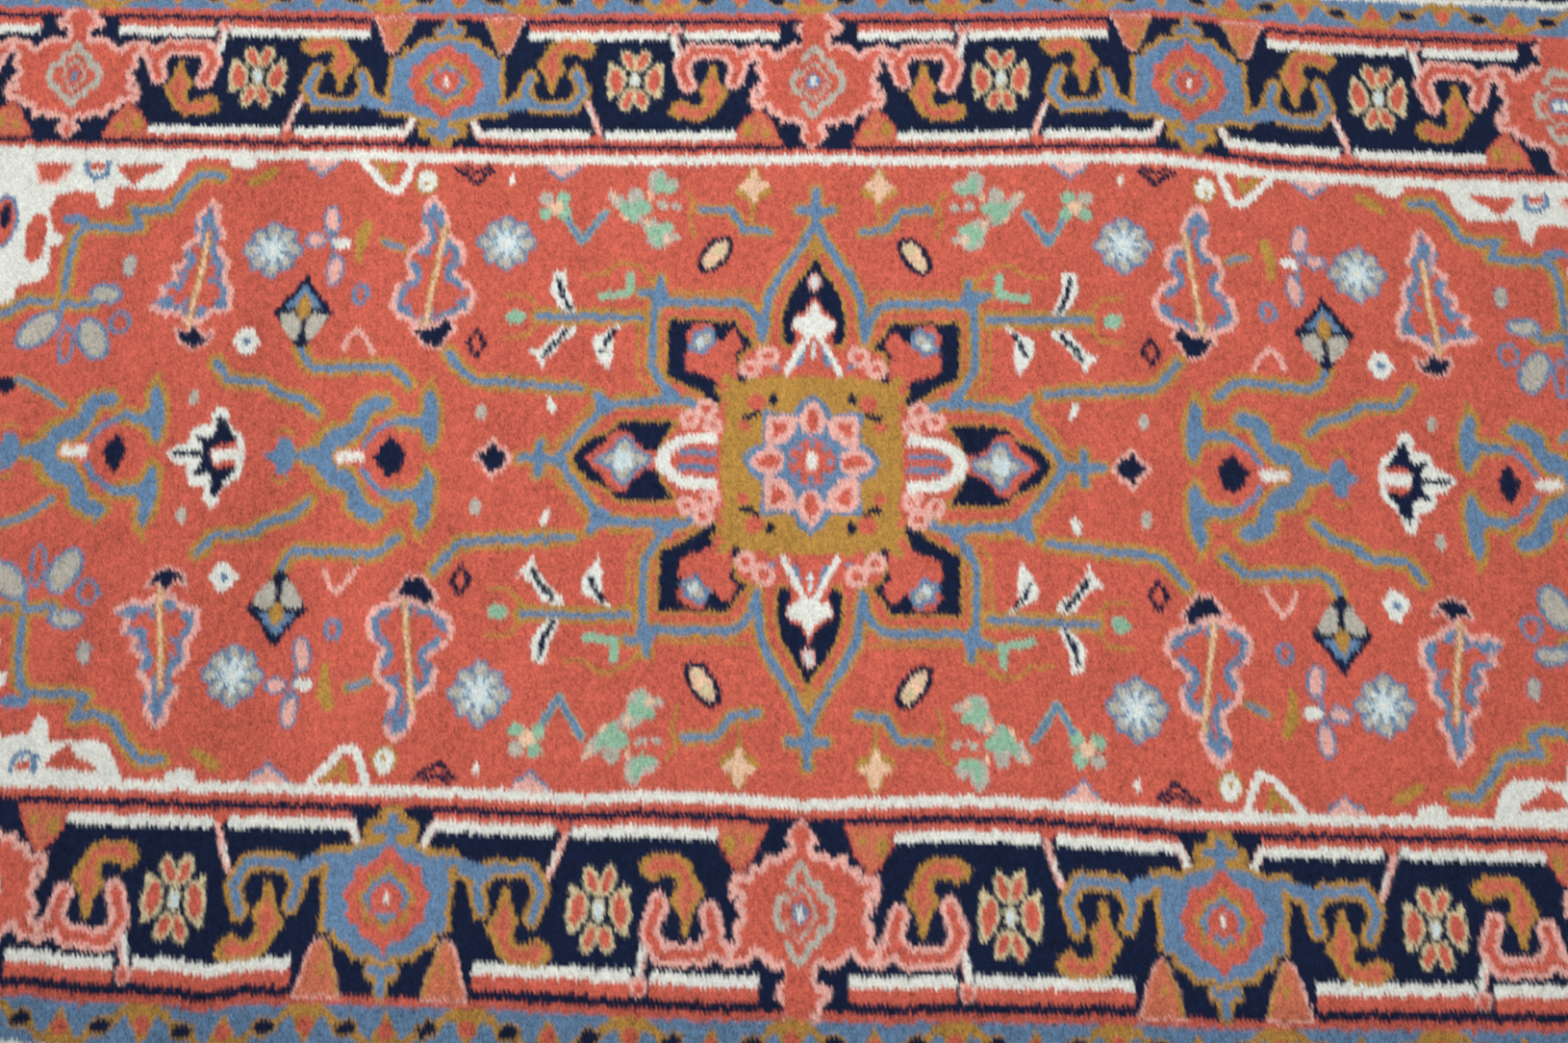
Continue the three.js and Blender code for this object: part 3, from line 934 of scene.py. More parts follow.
@dataclass
class GuardChart(Chart):
    """The narrow outer guard: a gold meander on light blue, one wave along."""

    low: Point = (0, GUARD_LOW)
    high: Point = (GUARD_PERIOD, GUARD_HIGH)
    ground: Dye = Dye.BLUE

    def draw(self) -> None:
        """Draws the meander and the flowers and blobs it passes."""
        low, high = GUARD_LOW, GUARD_HIGH
        middle = (low + high) / 2
        quarter = GUARD_PERIOD / 4
        wave = [(-quarter, low + 4), (-9, middle - 4), (9, middle + 4), (quarter - 13, high - 4),
                (quarter + 13, high - 4), (2 * quarter - 9, middle + 4), (2 * quarter + 9, middle - 4),
                (3 * quarter - 13, low + 4), (3 * quarter + 13, low + 4), (4 * quarter - 9, middle - 4),
                (4 * quarter + 9, middle + 4), (5 * quarter, high - 4)]
        self.line(Dye.GOLD, 4.6, wave)
        for centre, height, foot in ((quarter, middle + 1, high), (3 * quarter, middle - 1, low)):
            petal = [(centre - 11, foot), (centre - 7, height), (centre, 2 * height - foot),
                     (centre + 7, height), (centre + 11, foot)]
            self.patch(Dye.GOLD, petal)
            self.spot(Dye.FIELD, (centre, height), (10, 9))
        for step in (0, 2, 4):
            self.spot(Dye.NAVY, (step * quarter, middle), (14, 7), turn=-10, rim=Dye.GOLD, width=1.5)


class Pattern:
    """The runner's pattern: a quarter of the field, half a border repeat and a wave of the guard."""

    def __init__(self) -> None:
        """Draws the three charts once."""
        self.field = FieldChart()
        self.border = BorderChart()
        self.guard = GuardChart()
        for chart in (self.field, self.border, self.guard):
            chart.draw()

    @staticmethod
    def _drawn_height(x: np.ndarray, y: np.ndarray) -> np.ndarray:
        """The height in the drawing for each place on the rug.

        The wander of the axis, the field's edge, the border's outer line and the rug's own side
        are read at x and spread linearly between them; the near side is also stretched by its
        table. Three rounds of substitution undo both.

        Args:
            x: places along, in millimetres.
            y: places across from the pattern's axis, in millimetres.

        Returns:
            The height from the axis, 0 to REACH.
        """
        axis = wander(AXIS_WANDER, x)
        far = y > axis
        levels = np.array([0, FIELD_EDGE, BORDER_TOP, GUARD_LINE_TOP, REACH], float)
        far_side = smooth_side(SIDE_FAR, x) + BODY_WIDTH / 2 - AXIS_OFFSET - REACH
        near_side = smooth_side(SIDE_NEAR, x) - BODY_WIDTH / 2 - AXIS_OFFSET + NEAR_WOVEN[-1]
        inner = np.where(far, wander(FIELD_FAR_WANDER, x), wander(FIELD_NEAR_WANDER, x))
        outer = np.where(far, wander(BORDER_FAR_WANDER, x), wander(BORDER_NEAR_WANDER, x))
        side = np.where(far, far_side, near_side)
        height = np.abs(y)
        for _ in range(3):
            shift = np.select(
                [height < levels[1], height < levels[2], height < levels[3]],
                [axis + (inner - axis) * height / levels[1],
                 inner + (outer - inner) * (height - levels[1]) / (levels[2] - levels[1]),
                 outer],
                outer + (side - outer) * (height - levels[3]) / (levels[4] - levels[3]),
            )
            woven = np.where(far, y - shift, shift - y)
            height = np.where(far, woven, np.interp(woven, NEAR_WOVEN, NEAR_DRAWN))
            height = np.clip(height, 0, REACH)
        return height

    def at(self, x: np.ndarray, y: np.ndarray) -> np.ndarray:
        """The dye at each place on the rug.

        The depth is the height in the drawing, or the height that the end border has there if
        that is more. The border is read at the depth and at the place along folded into half a
        repeat, the field at the place itself, and the guard at the place along in its own wave.

        Args:
            x: places along, in the rug's own millimetres.
            y: places across, in the rug's own millimetres.

        Returns:
            The number of the dye at each.
        """
        across = y - AXIS_OFFSET
        height = self._drawn_height(x, across)
        along = np.abs(x)
        end_height = BORDER_MIDDLE + (along - END_TURN) / END_SCALE
        depth = np.maximum(height, end_height)
        run = np.where(height >= end_height, along, height * HALF_REPEAT / BORDER_MIDDLE)
        run = np.abs((run + HALF_REPEAT) % (2 * HALF_REPEAT) - HALF_REPEAT)
        right = (x > 0) ^ (((np.abs(x) + HALF_REPEAT) // (2 * HALF_REPEAT)) % 2 == 1)
        signed = np.where((run < BORDER_MARGIN) & ~right, -run, run)
        dye = np.where(depth < FIELD_EDGE, self.field.at(along, height), self.border.at(signed, depth))
        wave = np.where(height >= end_height, x - GUARD_PHASE, height)
        guard = self.guard.at(wave % GUARD_PERIOD, depth)
        return np.where((depth >= GUARD_LOW) & (depth < GUARD_HIGH), guard, dye)

    def coverage(self, x: np.ndarray, y: np.ndarray, reach: Point) -> np.ndarray:
        """How much of each dye lies round each place: its share of nine readings in a small box.

        The readings lie at the middles of the box's nine equal parts.

        Args:
            x: places along, in millimetres.
            y: places across, in millimetres.
            reach: half the box's width and height.

        Returns:
            An array with a last axis of one share for each dye.
        """
        shares = np.zeros((*x.shape, len(Dye)), np.float32)
        step = 0.67
        for step_x in (-step, 0, step):
            for step_y in (-step, 0, step):
                dye = self.at(x + step_x * reach[0], y + step_y * reach[1])
                np.add.at(shares.reshape(-1, len(Dye)), (np.arange(x.size), dye.ravel()), 1 / 9)
        return shares


def mesh_object(name: str, points: np.ndarray, faces: Iterable, smooth: bool = True) -> bpy.types.Object:
    """Makes an object from points in millimetres and lists of corners.

    Args:
        name: the piece's name.
        points: an array of x, y, z rows in millimetres.
        faces: corner numbers of each face.
        smooth: whether faces shade smoothly.

    Returns:
        The new object, at the origin.
    """
    mesh = bpy.data.meshes.new(name)
    mesh.from_pydata((points * MM).tolist(), [], faces if isinstance(faces, list) else faces.tolist())
    mesh.update()
    mesh.polygons.foreach_set("use_smooth", np.full(len(mesh.polygons), smooth))
    made = bpy.data.objects.new(name, mesh)
    bpy.context.scene.collection.objects.link(made)
    return made


def grid_faces(columns: int, rows: int, round_rows: bool = False) -> np.ndarray:
    """Four corners for each face of a grid whose points run along a row first.

    Args:
        columns: points along a row.
        rows: how many rows.
        round_rows: whether each row closes on itself.

    Returns:
        An array of four corner numbers a row.
    """
    i, j = np.meshgrid(np.arange(columns if round_rows else columns - 1), np.arange(rows - 1))
    right = (i + 1) % columns
    quads = np.stack([j * columns + i, j * columns + right, (j + 1) * columns + right,
                      (j + 1) * columns + i], -1)
    return quads.reshape(-1, 4)


def store_dyes(target: bpy.types.Object, x: np.ndarray, y: np.ndarray, shares: np.ndarray,
               rng: np.random.Generator) -> None:
    """Keeps each point's dye shares in vector attributes of three dyes, and its abrash in one more.

    The abrash is a sum of bell curves along the rug, one for each band of ABRASH_BANDS, plus a
    darkening of the near guard, which comes in as a logistic curve across, and plus a little of
    its own for each knot.

    Args:
        target: the piece that carries them.
        x: each point's place along, in millimetres.
        y: each point's place across, in millimetres.
        shares: each point's share of every dye.
        rng: the source of each knot's own tone.
    """
    flat = shares.reshape(-1, len(Dye))
    for index, name in enumerate(DYE_ATTRIBUTES):
        attribute = target.data.attributes.new(name, "FLOAT_VECTOR", "POINT")
        three = np.ascontiguousarray(flat[:, 3 * index : 3 * index + 3])
        attribute.data.foreach_set("vector", three.ravel())
    place, reach, strength = np.array(ABRASH_BANDS, float).T
    band = (strength * np.exp(-(((x.reshape(-1, 1) - place) / reach) ** 2))).sum(-1)
    # The near guard is darker.
    band += NEAR_GUARD_DARK_TONE / (1 + np.exp((y.ravel() - NEAR_GUARD_DARK_START) / NEAR_GUARD_DARK_FADE))
    band += rng.normal(0.0, KNOT_TONE, band.shape)
    attribute = target.data.attributes.new(BAND_ATTRIBUTE, "FLOAT", "POINT")
    attribute.data.foreach_set("value", band.astype(np.float32))


def store_bake_map(target: bpy.types.Object, u: np.ndarray, v: np.ndarray, chunks: int) -> None:
    """Gives a long strip a UV map for baking that is cut across and stacked to fill the square.

    A face goes to the chunk its middle lies in, and BAKE_MARGIN stays free round the chunk.

    Args:
        target: the strip.
        u: each point's place along it, from 0 to 1.
        v: each point's place across it, from 0 to 1.
        chunks: how many pieces it is cut into.
    """
    mesh = target.data
    corners = np.empty(len(mesh.loops), np.int64)
    mesh.loops.foreach_get("vertex_index", corners)
    totals = np.empty(len(mesh.polygons), np.int64)
    mesh.polygons.foreach_get("loop_total", totals)
    owner = np.repeat(np.arange(len(totals)), totals)
    middle = np.bincount(owner, u[corners]) / totals
    chunk = np.minimum((middle * chunks).astype(int), chunks - 1)[owner]
    inside = u[corners] * chunks - chunk
    side, end = BAKE_MARGIN
    across = end + (1 - 2 * end) * v[corners]
    place = np.stack([side + (1 - 2 * side) * inside, (chunk + across) / chunks], -1)
    mesh.uv_layers.new(name="OFBake").data.foreach_set("uv", place.astype(np.float32).ravel())


def empty_material(name: str) -> bpy.types.Material:
    """A new material of that name with no nodes in it."""
    material = bpy.data.materials.new(name)
    material.use_nodes = True
    material.node_tree.nodes.clear()
    return material


def add(material: bpy.types.Material, kind: str, inputs: dict | None = None,
        **settings: object) -> bpy.types.Node:
    """Adds a node to a material with its settings and links.

    Args:
        material: the material it belongs to.
        kind: the node's type, without its first words.
        inputs: for an input's name or number, a value, a socket, or a node, which stands for its
            first live output.
        settings: the node's own attributes.

    Returns:
        The new node.
    """
    tree = material.node_tree
    node = tree.nodes.new("ShaderNode" + kind)
    for key, value in settings.items():
        setattr(node, key, value)
    for key, value in (inputs or {}).items():
        if isinstance(value, bpy.types.Node):
            value = next(socket for socket in value.outputs if socket.enabled)
        if isinstance(value, bpy.types.NodeSocket):
            tree.links.new(value, node.inputs[key])
        else:
            node.inputs[key].default_value = value
    return node


@dataclass(frozen=True)
class DyedWool:
    """Sheep's wool, spun and dyed by hand, knotted and then cut short.

    The cut ends stand up, so the surface is matt, and it looks soft because each tuft leans its
    own way. Every batch of dye came out a little different, which leaves bands across the rug.
    """

    name: str = "dyed hand-spun wool"
    roughness: float = 0.95
    specular: float = 0.12
    sheen: float = 0.07
    sheen_roughness: float = 0.5
    fuzz: float = 1.5
    fuzz_share: Point = (0.9, 0.5)
    fuzz_per_m_up: float = 200.0
    fibre_mm: float = 1.0
    tuft_mm: float = 2.9
    feature_share: float = 0.8
    lean: float = 0.6
    nap_mm: float = 0.9
    nap_strength: float = 0.85
    fibre_relief: float = 0.55
    streaks_per_m: tuple[float, float, float] = (60.0, 5.0, 1.0)
    blotches_per_m: float = 45.0
    streak_tone: float = 0.22
    blotch_tone: float = 0.36
    # The tuft and fibre shares are painted shade in the pile's gaps and painted light on its tops; grain
    # scales them with the streaks and blotches.
    tuft_shading: float = 0.7
    fibre_shading: float = 1.1
    grain_and_shading: float = 1.17
    pale_softening: float = 0.75

    def make(self) -> bpy.types.Material:
        """Builds the material: dyes mixed by fibre noise, toned by abrash, with painted shade and light
        from the relief.

        Returns:
            The material, which reads the dye and abrash attributes.
        """
        made = empty_material(self.name)
        place = add(made, "TexCoord").outputs["Object"]
        tuft, fibre = self._nap(made, place)
        colour = self._shaded(made, place, self._dyed(made, place), tuft, fibre)
        height = add(made, "Math", {0: fibre, 1: self.fibre_relief, 2: tuft}, operation="MULTIPLY_ADD")
        relief = {"Strength": self.nap_strength, "Distance": self.nap_mm * MM, "Height": height}
        shader = add(made, "BsdfPrincipled", {
            "Base Color": colour, "Roughness": self.roughness, "Normal": add(made, "Bump", relief),
            "Specular IOR Level": self.specular, "Sheen Weight": self.sheen,
            "Sheen Roughness": self.sheen_roughness,
        })
        add(made, "OutputMaterial", {"Surface": shader})
        return made

    def _nap(self, made: bpy.types.Material, place: bpy.types.NodeSocket) -> list[bpy.types.Node]:
        """The relief of the cut pile: noise of one knot's size, and finer noise for its fibre ends.

        A knot is taller than wide, because the pile leans across the rug. A feature of the noise
        takes feature_share of its unit, so the scale is that over the real size.

        Args:
            made: the material.
            place: the object's own coordinates.

        Returns:
            The noise of the tufts and the noise of the fibres.
        """
        slanted = add(made, "VectorMath", {0: place, 1: (1.0, self.lean, 1.0)}, operation="MULTIPLY")
        scales = [self.feature_share / (size * MM) for size in (self.tuft_mm, self.fibre_mm)]
        return [add(made, "TexNoise", {"Vector": slanted, "Scale": scale, "Detail": 2.0})
                for scale in scales]

    def _dyed(self, made: bpy.types.Material, place: bpy.types.NodeSocket) -> bpy.types.Node:
        """The dye colour: the weight of each dye is its share, times the share plus fibre noise.

        Every group of three dyes has noise from a place of its own.

        Args:
            made: the material.
            place: the object's own coordinates.

        Returns:
            The node that gives the mixed colour.
        """
        sums: dict[str, bpy.types.Node] = {}
        scale = (*(share / (self.fibre_mm * MM) for share in self.fuzz_share), self.fuzz_per_m_up)
        for index, name in enumerate(DYE_ATTRIBUTES):
            share = add(made, "Attribute", attribute_name=name).outputs["Vector"]
            shift = (37.0 * index, 11.0 * index, 5.0)
            moved = add(made, "VectorMath", {0: place, 1: scale, 2: shift}, operation="MULTIPLY_ADD")
            noise = add(made, "TexNoise", {"Vector": moved, "Scale": 1.0, "Detail": 1.0}).outputs["Color"]
            fuzz = (self.fuzz,) * 3
            fuzzy = add(made, "VectorMath", {0: noise, 1: fuzz, 2: share}, operation="MULTIPLY_ADD")
            weight = add(made, "VectorMath", {0: fuzzy, 1: share}, operation="MULTIPLY")
            tones = [linear(DYE_COLOUR[Dye(3 * index + k)]) for k in range(3)]
            columns = dict(zip(("Red", "Green", "Blue"), zip(*tones)))
            columns["total"] = (1.0, 1.0, 1.0)
            for channel, amounts in columns.items():
                part = add(made, "VectorMath", {0: weight, 1: amounts}, operation="DOT_PRODUCT")
                if channel in sums:
                    part = add(made, "Math", {0: sums[channel], 1: part}, operation="ADD")
                sums[channel] = part
        total = sums.pop("total")
        parts = {channel: add(made, "Math", {0: part, 1: total}, operation="DIVIDE")
                 for channel, part in sums.items()}
        return add(made, "CombineColor", parts)

    def _shaded(self, made: bpy.types.Material, place: bpy.types.NodeSocket, colour: bpy.types.Node,
                tuft: bpy.types.Node, fibre: bpy.types.Node) -> bpy.types.Node:
        """The colour times 1 plus the abrash, streaks, blotches, and painted shade in the gaps between
        the tufts with painted light on their tops.

        Each noise lies round a half, so half of all their tones is taken off. The tufts' and fibres'
        noise is the pile's relief too, so it paints shade into the gaps and light onto the tops. Pale
        wool scatters light into its gaps, so the contrast falls as the colour's green rises.

        Args:
            made: the material.
            place: the object's own coordinates.
            colour: the mixed dye colour.
            tuft: the noise of the tufts.
            fibre: the noise of the fibres.

        Returns:
            The node that gives the shaded colour.
        """
        gain = add(made, "Attribute", attribute_name=BAND_ATTRIBUTE).outputs["Fac"]
        across = add(made, "VectorMath", {0: place, 1: self.streaks_per_m}, operation="MULTIPLY")
        streaks = add(made, "TexNoise", {"Vector": across, "Scale": 1.0, "Detail": 3.0})
        blotches = add(made, "TexNoise", {"Vector": place, "Scale": self.blotches_per_m, "Detail": 4.0})
        # Streaks and blotches are random tone; the tuft and fibre noise paints shade into the pile's gaps
        # and light onto its tops.
        amounts = (self.streak_tone, self.blotch_tone, self.tuft_shading, self.fibre_shading)
        for part, amount in zip((streaks, blotches, tuft, fibre), amounts):
            gain = add(made, "Math", {0: part, 1: amount, 2: gain}, operation="MULTIPLY_ADD")
        off_one = add(made, "Math", {0: gain, 1: -sum(amounts) / 2}, operation="ADD")
        green = add(made, "SeparateColor", {"Color": colour}).outputs["Green"]
        contrast = {0: green, 1: -self.pale_softening, 2: self.grain_and_shading}
        depth = add(made, "Math", contrast, operation="MULTIPLY_ADD")
        centred = add(made, "Math", {0: off_one, 1: depth, 2: 1.0}, operation="MULTIPLY_ADD")
        return add(made, "VectorMath", {0: colour, "Scale": centred}, operation="SCALE")


@dataclass(frozen=True)
class WoundYarn:
    """Yarn of one colour, wound or twisted by hand.

    The turns lie side by side as fine ridges, with a little painted light along their tops and
    painted shade in between.
    """

    name: str
    colour: str
    pitch_mm: float
    direction: Point = (1.0, 0.0)
    ridge_mm: float = 0.35
    ridge_strength: float = 0.9
    ridge_relief: float = 0.5
    ridge_light_and_shade: float = 0.13
    base_tone: float = 0.35
    bends_per_m: float = 400.0
    bend: float = 1.6
    roughness: float = 0.9
    specular: float = 0.2
    sheen: float = 0.1

    def make(self) -> bpy.types.Material:
        """Builds the material: a sine of the place along one direction, bent by noise, for the ridges'
        relief and their painted light and shade.

        Returns:
            The material.
        """
        made = empty_material(self.name)
        place = add(made, "TexCoord").outputs["Object"]
        turn = 2 * math.pi / (self.pitch_mm * MM)
        along = (turn * self.direction[0], turn * self.direction[1], 0.0)
        phase = add(made, "VectorMath", {0: place, 1: along}, operation="DOT_PRODUCT")
        wobble = add(made, "TexNoise", {"Vector": place, "Scale": self.bends_per_m, "Detail": 3.0})
        bent = add(made, "Math", {0: wobble, 1: self.bend, 2: phase}, operation="MULTIPLY_ADD")
        ridge = add(made, "Math", {0: bent}, operation="SINE")
        height = add(made, "Math", {0: ridge, 1: self.ridge_relief, 2: wobble}, operation="MULTIPLY_ADD")
        # The ridge's sine paints light onto the ridge tops and shade between them.
        shade = add(made, "Math", {0: ridge, 1: self.ridge_light_and_shade, 2: wobble}, operation="MULTIPLY_ADD")
        lifted = add(made, "Math", {0: shade, 1: self.base_tone}, operation="ADD")
        colour = add(made, "VectorMath", {0: linear(self.colour), "Scale": lifted}, operation="SCALE")
        relief = {"Strength": self.ridge_strength, "Distance": self.ridge_mm * MM, "Height": height}
        shader = add(made, "BsdfPrincipled", {
            "Base Color": colour, "Roughness": self.roughness, "Normal": add(made, "Bump", relief),
            "Specular IOR Level": self.specular, "Sheen Weight": self.sheen,
        })
        add(made, "OutputMaterial", {"Surface": shader})
        return made


@dataclass
class KnottedBody:
    """The knotted body: the pile in strips, on a cotton foundation that carries them."""

    length: float = BODY_LENGTH
    width: float = BODY_WIDTH
    top: float = 11.6
    edge_height: float = 7.2
    edge_insets: tuple[float, ...] = (0.0, 0.0, 0.4, 1.5, 3.5, 6.0)
    rounding: float = 6.0
    ripple: float = 0.4
    ripple_reach: Point = (95.0, 70.0)
    tuft_drop: float = 0.45
    foundation: float = 2.6
    pile_sunk: float = 0.2
    pile_seed: int = 11
    back_seed: int = 5
    knot_columns: int = 1240
    knot_rows: int = 310
    knot_box: Point = (1.25, 1.5)
    lean_step: float = 8.0
    lean_spread: float = 0.8
    sway_spread: float = 0.5
    teeth: Point = (0.2, 1.2)
    back_columns: int = 360
    back_rows: int = 155
    back_box: Point = (1.6, 1.6)
    strips: tuple[str, ...] = ("pile_near_border", "pile_near_field", "pile_middle", "pile_far_field",
                               "pile_far_border")

    def sides(self, x: np.ndarray) -> tuple[np.ndarray, np.ndarray]:
        """Where the near and far long sides lie at x."""
        return smooth_side(SIDE_NEAR, x) - self.width / 2, smooth_side(SIDE_FAR, x) + self.width / 2

    def _edge_rows(self) -> tuple[np.ndarray, np.ndarray]:
        """Insets from an edge and the height allowed there, up the cut side and over a quarter ellipse.

        Returns:
            The insets and the heights in millimetres.
        """
        inset = np.array(self.edge_insets)
        bend = 1 - np.clip(inset / self.rounding, 0, 1)
        height = self.edge_height + (self.top - self.edge_height) * np.sqrt(1 - bend**2)
        height[0] = self.foundation - self.pile_sunk
        return inset, height

    def _steps(self, span: float, count: int) -> tuple[np.ndarray, np.ndarray]:
        """Distances from one edge to the other, and the height allowed at each.

        Args:
            span: how far apart the edges are.
            count: how many even steps lie between the two rounded edges.

        Returns:
            The distances and the heights in millimetres.
        """
        inset, height = self._edge_rows()
        inner = np.linspace(inset[-1], span - inset[-1], count)[1:-1]
        distance = np.concatenate([inset, inner, span - inset[::-1]])
        allowed = np.concatenate([height, np.full(len(inner), self.top), height[::-1]])
        return distance, allowed

    def surface(self, rng: np.random.Generator) -> tuple[np.ndarray, np.ndarray, np.ndarray]:
        """The pile's points as a grid: along, then across.

        The height is the body's own ripple, less up to half a millimetre for tufts that are cut
        shorter, and is held under the rounded edge.

        Args:
            rng: the source of the tufts' unevenness.

        Returns:
            x, y and z in millimetres, each with one row for every place along.
        """
        along, along_height = self._steps(self.length, self.knot_columns)
        x = along - self.length / 2
        near, far = self.sides(x)
        across, across_height = self._steps(self.width, self.knot_rows)
        share = across / self.width
        y = near[:, None] + (far - near)[:, None] * share[None, :]
        x = np.broadcast_to(x[:, None], y.shape)
        wave = np.sin(x / self.ripple_reach[0]) * np.cos(y / self.ripple_reach[1])
        z = self.top - self.ripple * (1 - wave) / 2
        z = z - self.tuft_drop * rng.random(y.shape)
        z = np.minimum(z, np.minimum(along_height[:, None], across_height[None, :]))
        return x, y, z

    def build(self, pattern: Pattern, wool: bpy.types.Material) -> list[bpy.types.Object]:
        """Makes the pile strips and the foundation.

        Args:
            pattern: the drawing to take dyes from.
            wool: the wool's material.

        Returns:
            The foundation first, then the strips.
        """
        rng = np.random.default_rng(self.pile_seed)
        x, y, z = self.surface(rng)
        shares = self._knotted(pattern, x, y, rng)
        cuts = np.linspace(0, y.shape[1] - 1, len(self.strips) + 1).astype(int)
        made = [self._foundation(pattern, wool)]
        along = (x[:, 0] + self.length / 2) / self.length
        for name, first, last in zip(self.strips, cuts, cuts[1:]):
            part = slice(first, last + 1)
            points = np.stack([x[:, part], y[:, part], z[:, part]], -1).reshape(-1, 3)
            count = last + 1 - first
            strip = mesh_object(name, points, grid_faces(count, len(along))[:, ::-1])
            store_dyes(strip, x[:, part], y[:, part], shares[:, part], rng)
            across = np.tile(np.linspace(0, 1, count), len(along))
            store_bake_map(strip, np.repeat(along, count), across, chunks=3)
            strip.data.materials.append(wool)
            made.append(strip)
        return made

    def _knotted(self, pattern: Pattern, x: np.ndarray, y: np.ndarray,
                 rng: np.random.Generator) -> np.ndarray:
        """Dye shares at the pile's points, where each knot leans a little its own way.

        Two columns make a knot, and one of them is read further across than the other, so that a
        line along the rug has teeth. The lean changes every lean_step across, linearly between.

        Args:
            pattern: the drawing to take dyes from.
            x: the points' places along, in millimetres.
            y: the points' places across, in millimetres.
            rng: the source of the leaning.

        Returns:
            An array with a last axis of one share for each dye.
        """
        columns = np.arange(x.shape[0]) // 2
        half_span, spare_steps = 500.0, 5
        rows = (y + half_span) / self.lean_step
        steps = int(2 * half_span / self.lean_step) + spare_steps
        lean = rng.normal(0.0, self.lean_spread, (columns[-1] + 1, steps))
        low = rows.astype(int)
        part = rows - low
        column = np.broadcast_to(columns[:, None], y.shape)
        shift = lean[column, low] * (1 - part) + lean[column, low + 1] * part
        teeth = (-1.0) ** np.arange(x.shape[0]) * rng.uniform(*self.teeth, x.shape[0])
        sway = rng.normal(0.0, self.sway_spread, y.shape)
        return pattern.coverage(x + sway, y + shift + teeth[:, None], self.knot_box)

    def _foundation(self, pattern: Pattern, wool: bpy.types.Material) -> bpy.types.Object:
        """The closed slab of warps, wefts and knot backs: its underside shows the pattern too.

        The underside is a grid of 5 mm cells. The top repeats only its outline and is hidden by
        the pile.

        Args:
            pattern: the drawing to take dyes from.
            wool: the wool's material.

        Returns:
            The slab as an object.
        """
        columns, rows = self.back_columns, self.back_rows
        x = np.linspace(-self.length / 2, self.length / 2, columns)
        near, far = self.sides(x)
        share = np.linspace(0, 1, rows)
        y = near[:, None] + (far - near)[:, None] * share[None, :]
        xx = np.broadcast_to(x[:, None], y.shape)
        bottom = np.stack([xx, y, np.zeros_like(y)], -1).reshape(-1, 3)
        top = bottom + (0, 0, self.foundation)
        faces = grid_faces(rows, columns).tolist()
        lift = rows * columns
        around = [*range(0, rows), *(i * rows + rows - 1 for i in range(1, columns)),
                  *((columns - 1) * rows + j for j in range(rows - 2, -1, -1)),
                  *(i * rows for i in range(columns - 2, 0, -1))]
        number = {corner: lift + k for k, corner in enumerate(around)}
        points = np.vstack([bottom, top[around]])
        for a, b in zip(around, around[1:] + around[:1]):
            faces.append([b, a, number[a], number[b]])
        for i in range(1, columns - 2):
            faces.append([number[i * rows], number[(i + 1) * rows], number[(i + 1) * rows + rows - 1],
                          number[i * rows + rows - 1]])
        faces.append([number[j] for j in range(rows - 1, -1, -1)] + [number[rows], number[2 * rows - 1]])
        last = (columns - 1) * rows
        faces.append([number[last - rows]] + [number[last + j] for j in range(rows)] + [number[last - 1]])
        slab = mesh_object("foundation", points, faces, smooth=False)
        shares = pattern.coverage(points[:, 0], points[:, 1], self.back_box)
        store_dyes(slab, points[:, 0], points[:, 1], shares, np.random.default_rng(self.back_seed))
        along = (points[:, 0] + self.length / 2) / self.length
        half_map = 400.0
        across = np.clip((points[:, 1] + half_map) / (2 * half_map), 0, 1)
        store_bake_map(slab, along, across, chunks=2)
        slab.data.materials.append(wool)
        return slab


@dataclass
class Selvedge:
    """The outer warps of one long side, overcast with wool: a round cord with a ridge for each turn."""

    name: str
    far: bool
    width: float = 7.0
    height: float = 6.4
    gap: float = 0.3
    turn_pitch: float = 2.6
    swell: float = 0.05
    corners: int = 12

    def build(self, body: KnottedBody, yarn: bpy.types.Material) -> bpy.types.Object:
        """Makes the cord.

        At each place along, the section is an ellipse flattened on the floor, whose size swells
        and shrinks with each turn of the yarn.

        Args:
            body: the body it lies beside.
            yarn: its material.

        Returns:
            The cord as an object.
        """
        count = int(body.length / (self.turn_pitch / 2)) + 1
        x = np.linspace(-body.length / 2, body.length / 2, count)
        side = body.sides(x)[1 if self.far else 0]
        sign = 1 if self.far else -1
        middle = side + sign * (self.gap + self.width / 2)
        angle = 2 * np.pi * (np.arange(self.corners) + 0.5) / self.corners
        swell = (1 - self.swell * (np.arange(count) % 2))[:, None]
        y = middle[:, None] + self.width / 2 * swell * np.cos(angle)
        z = self.height / 2 + self.height / 2 * swell * np.sin(angle)
        points = np.stack([np.broadcast_to(x[:, None], y.shape), y, np.maximum(z, 0)], -1).reshape(-1, 3)
        faces = grid_faces(self.corners, count, round_rows=True).tolist()
        faces.append(list(range(self.corners))[::-1])
        faces.append([(count - 1) * self.corners + k for k in range(self.corners)])
        cord = mesh_object(self.name, points, faces)
        cord.data.materials.append(yarn)
        return cord


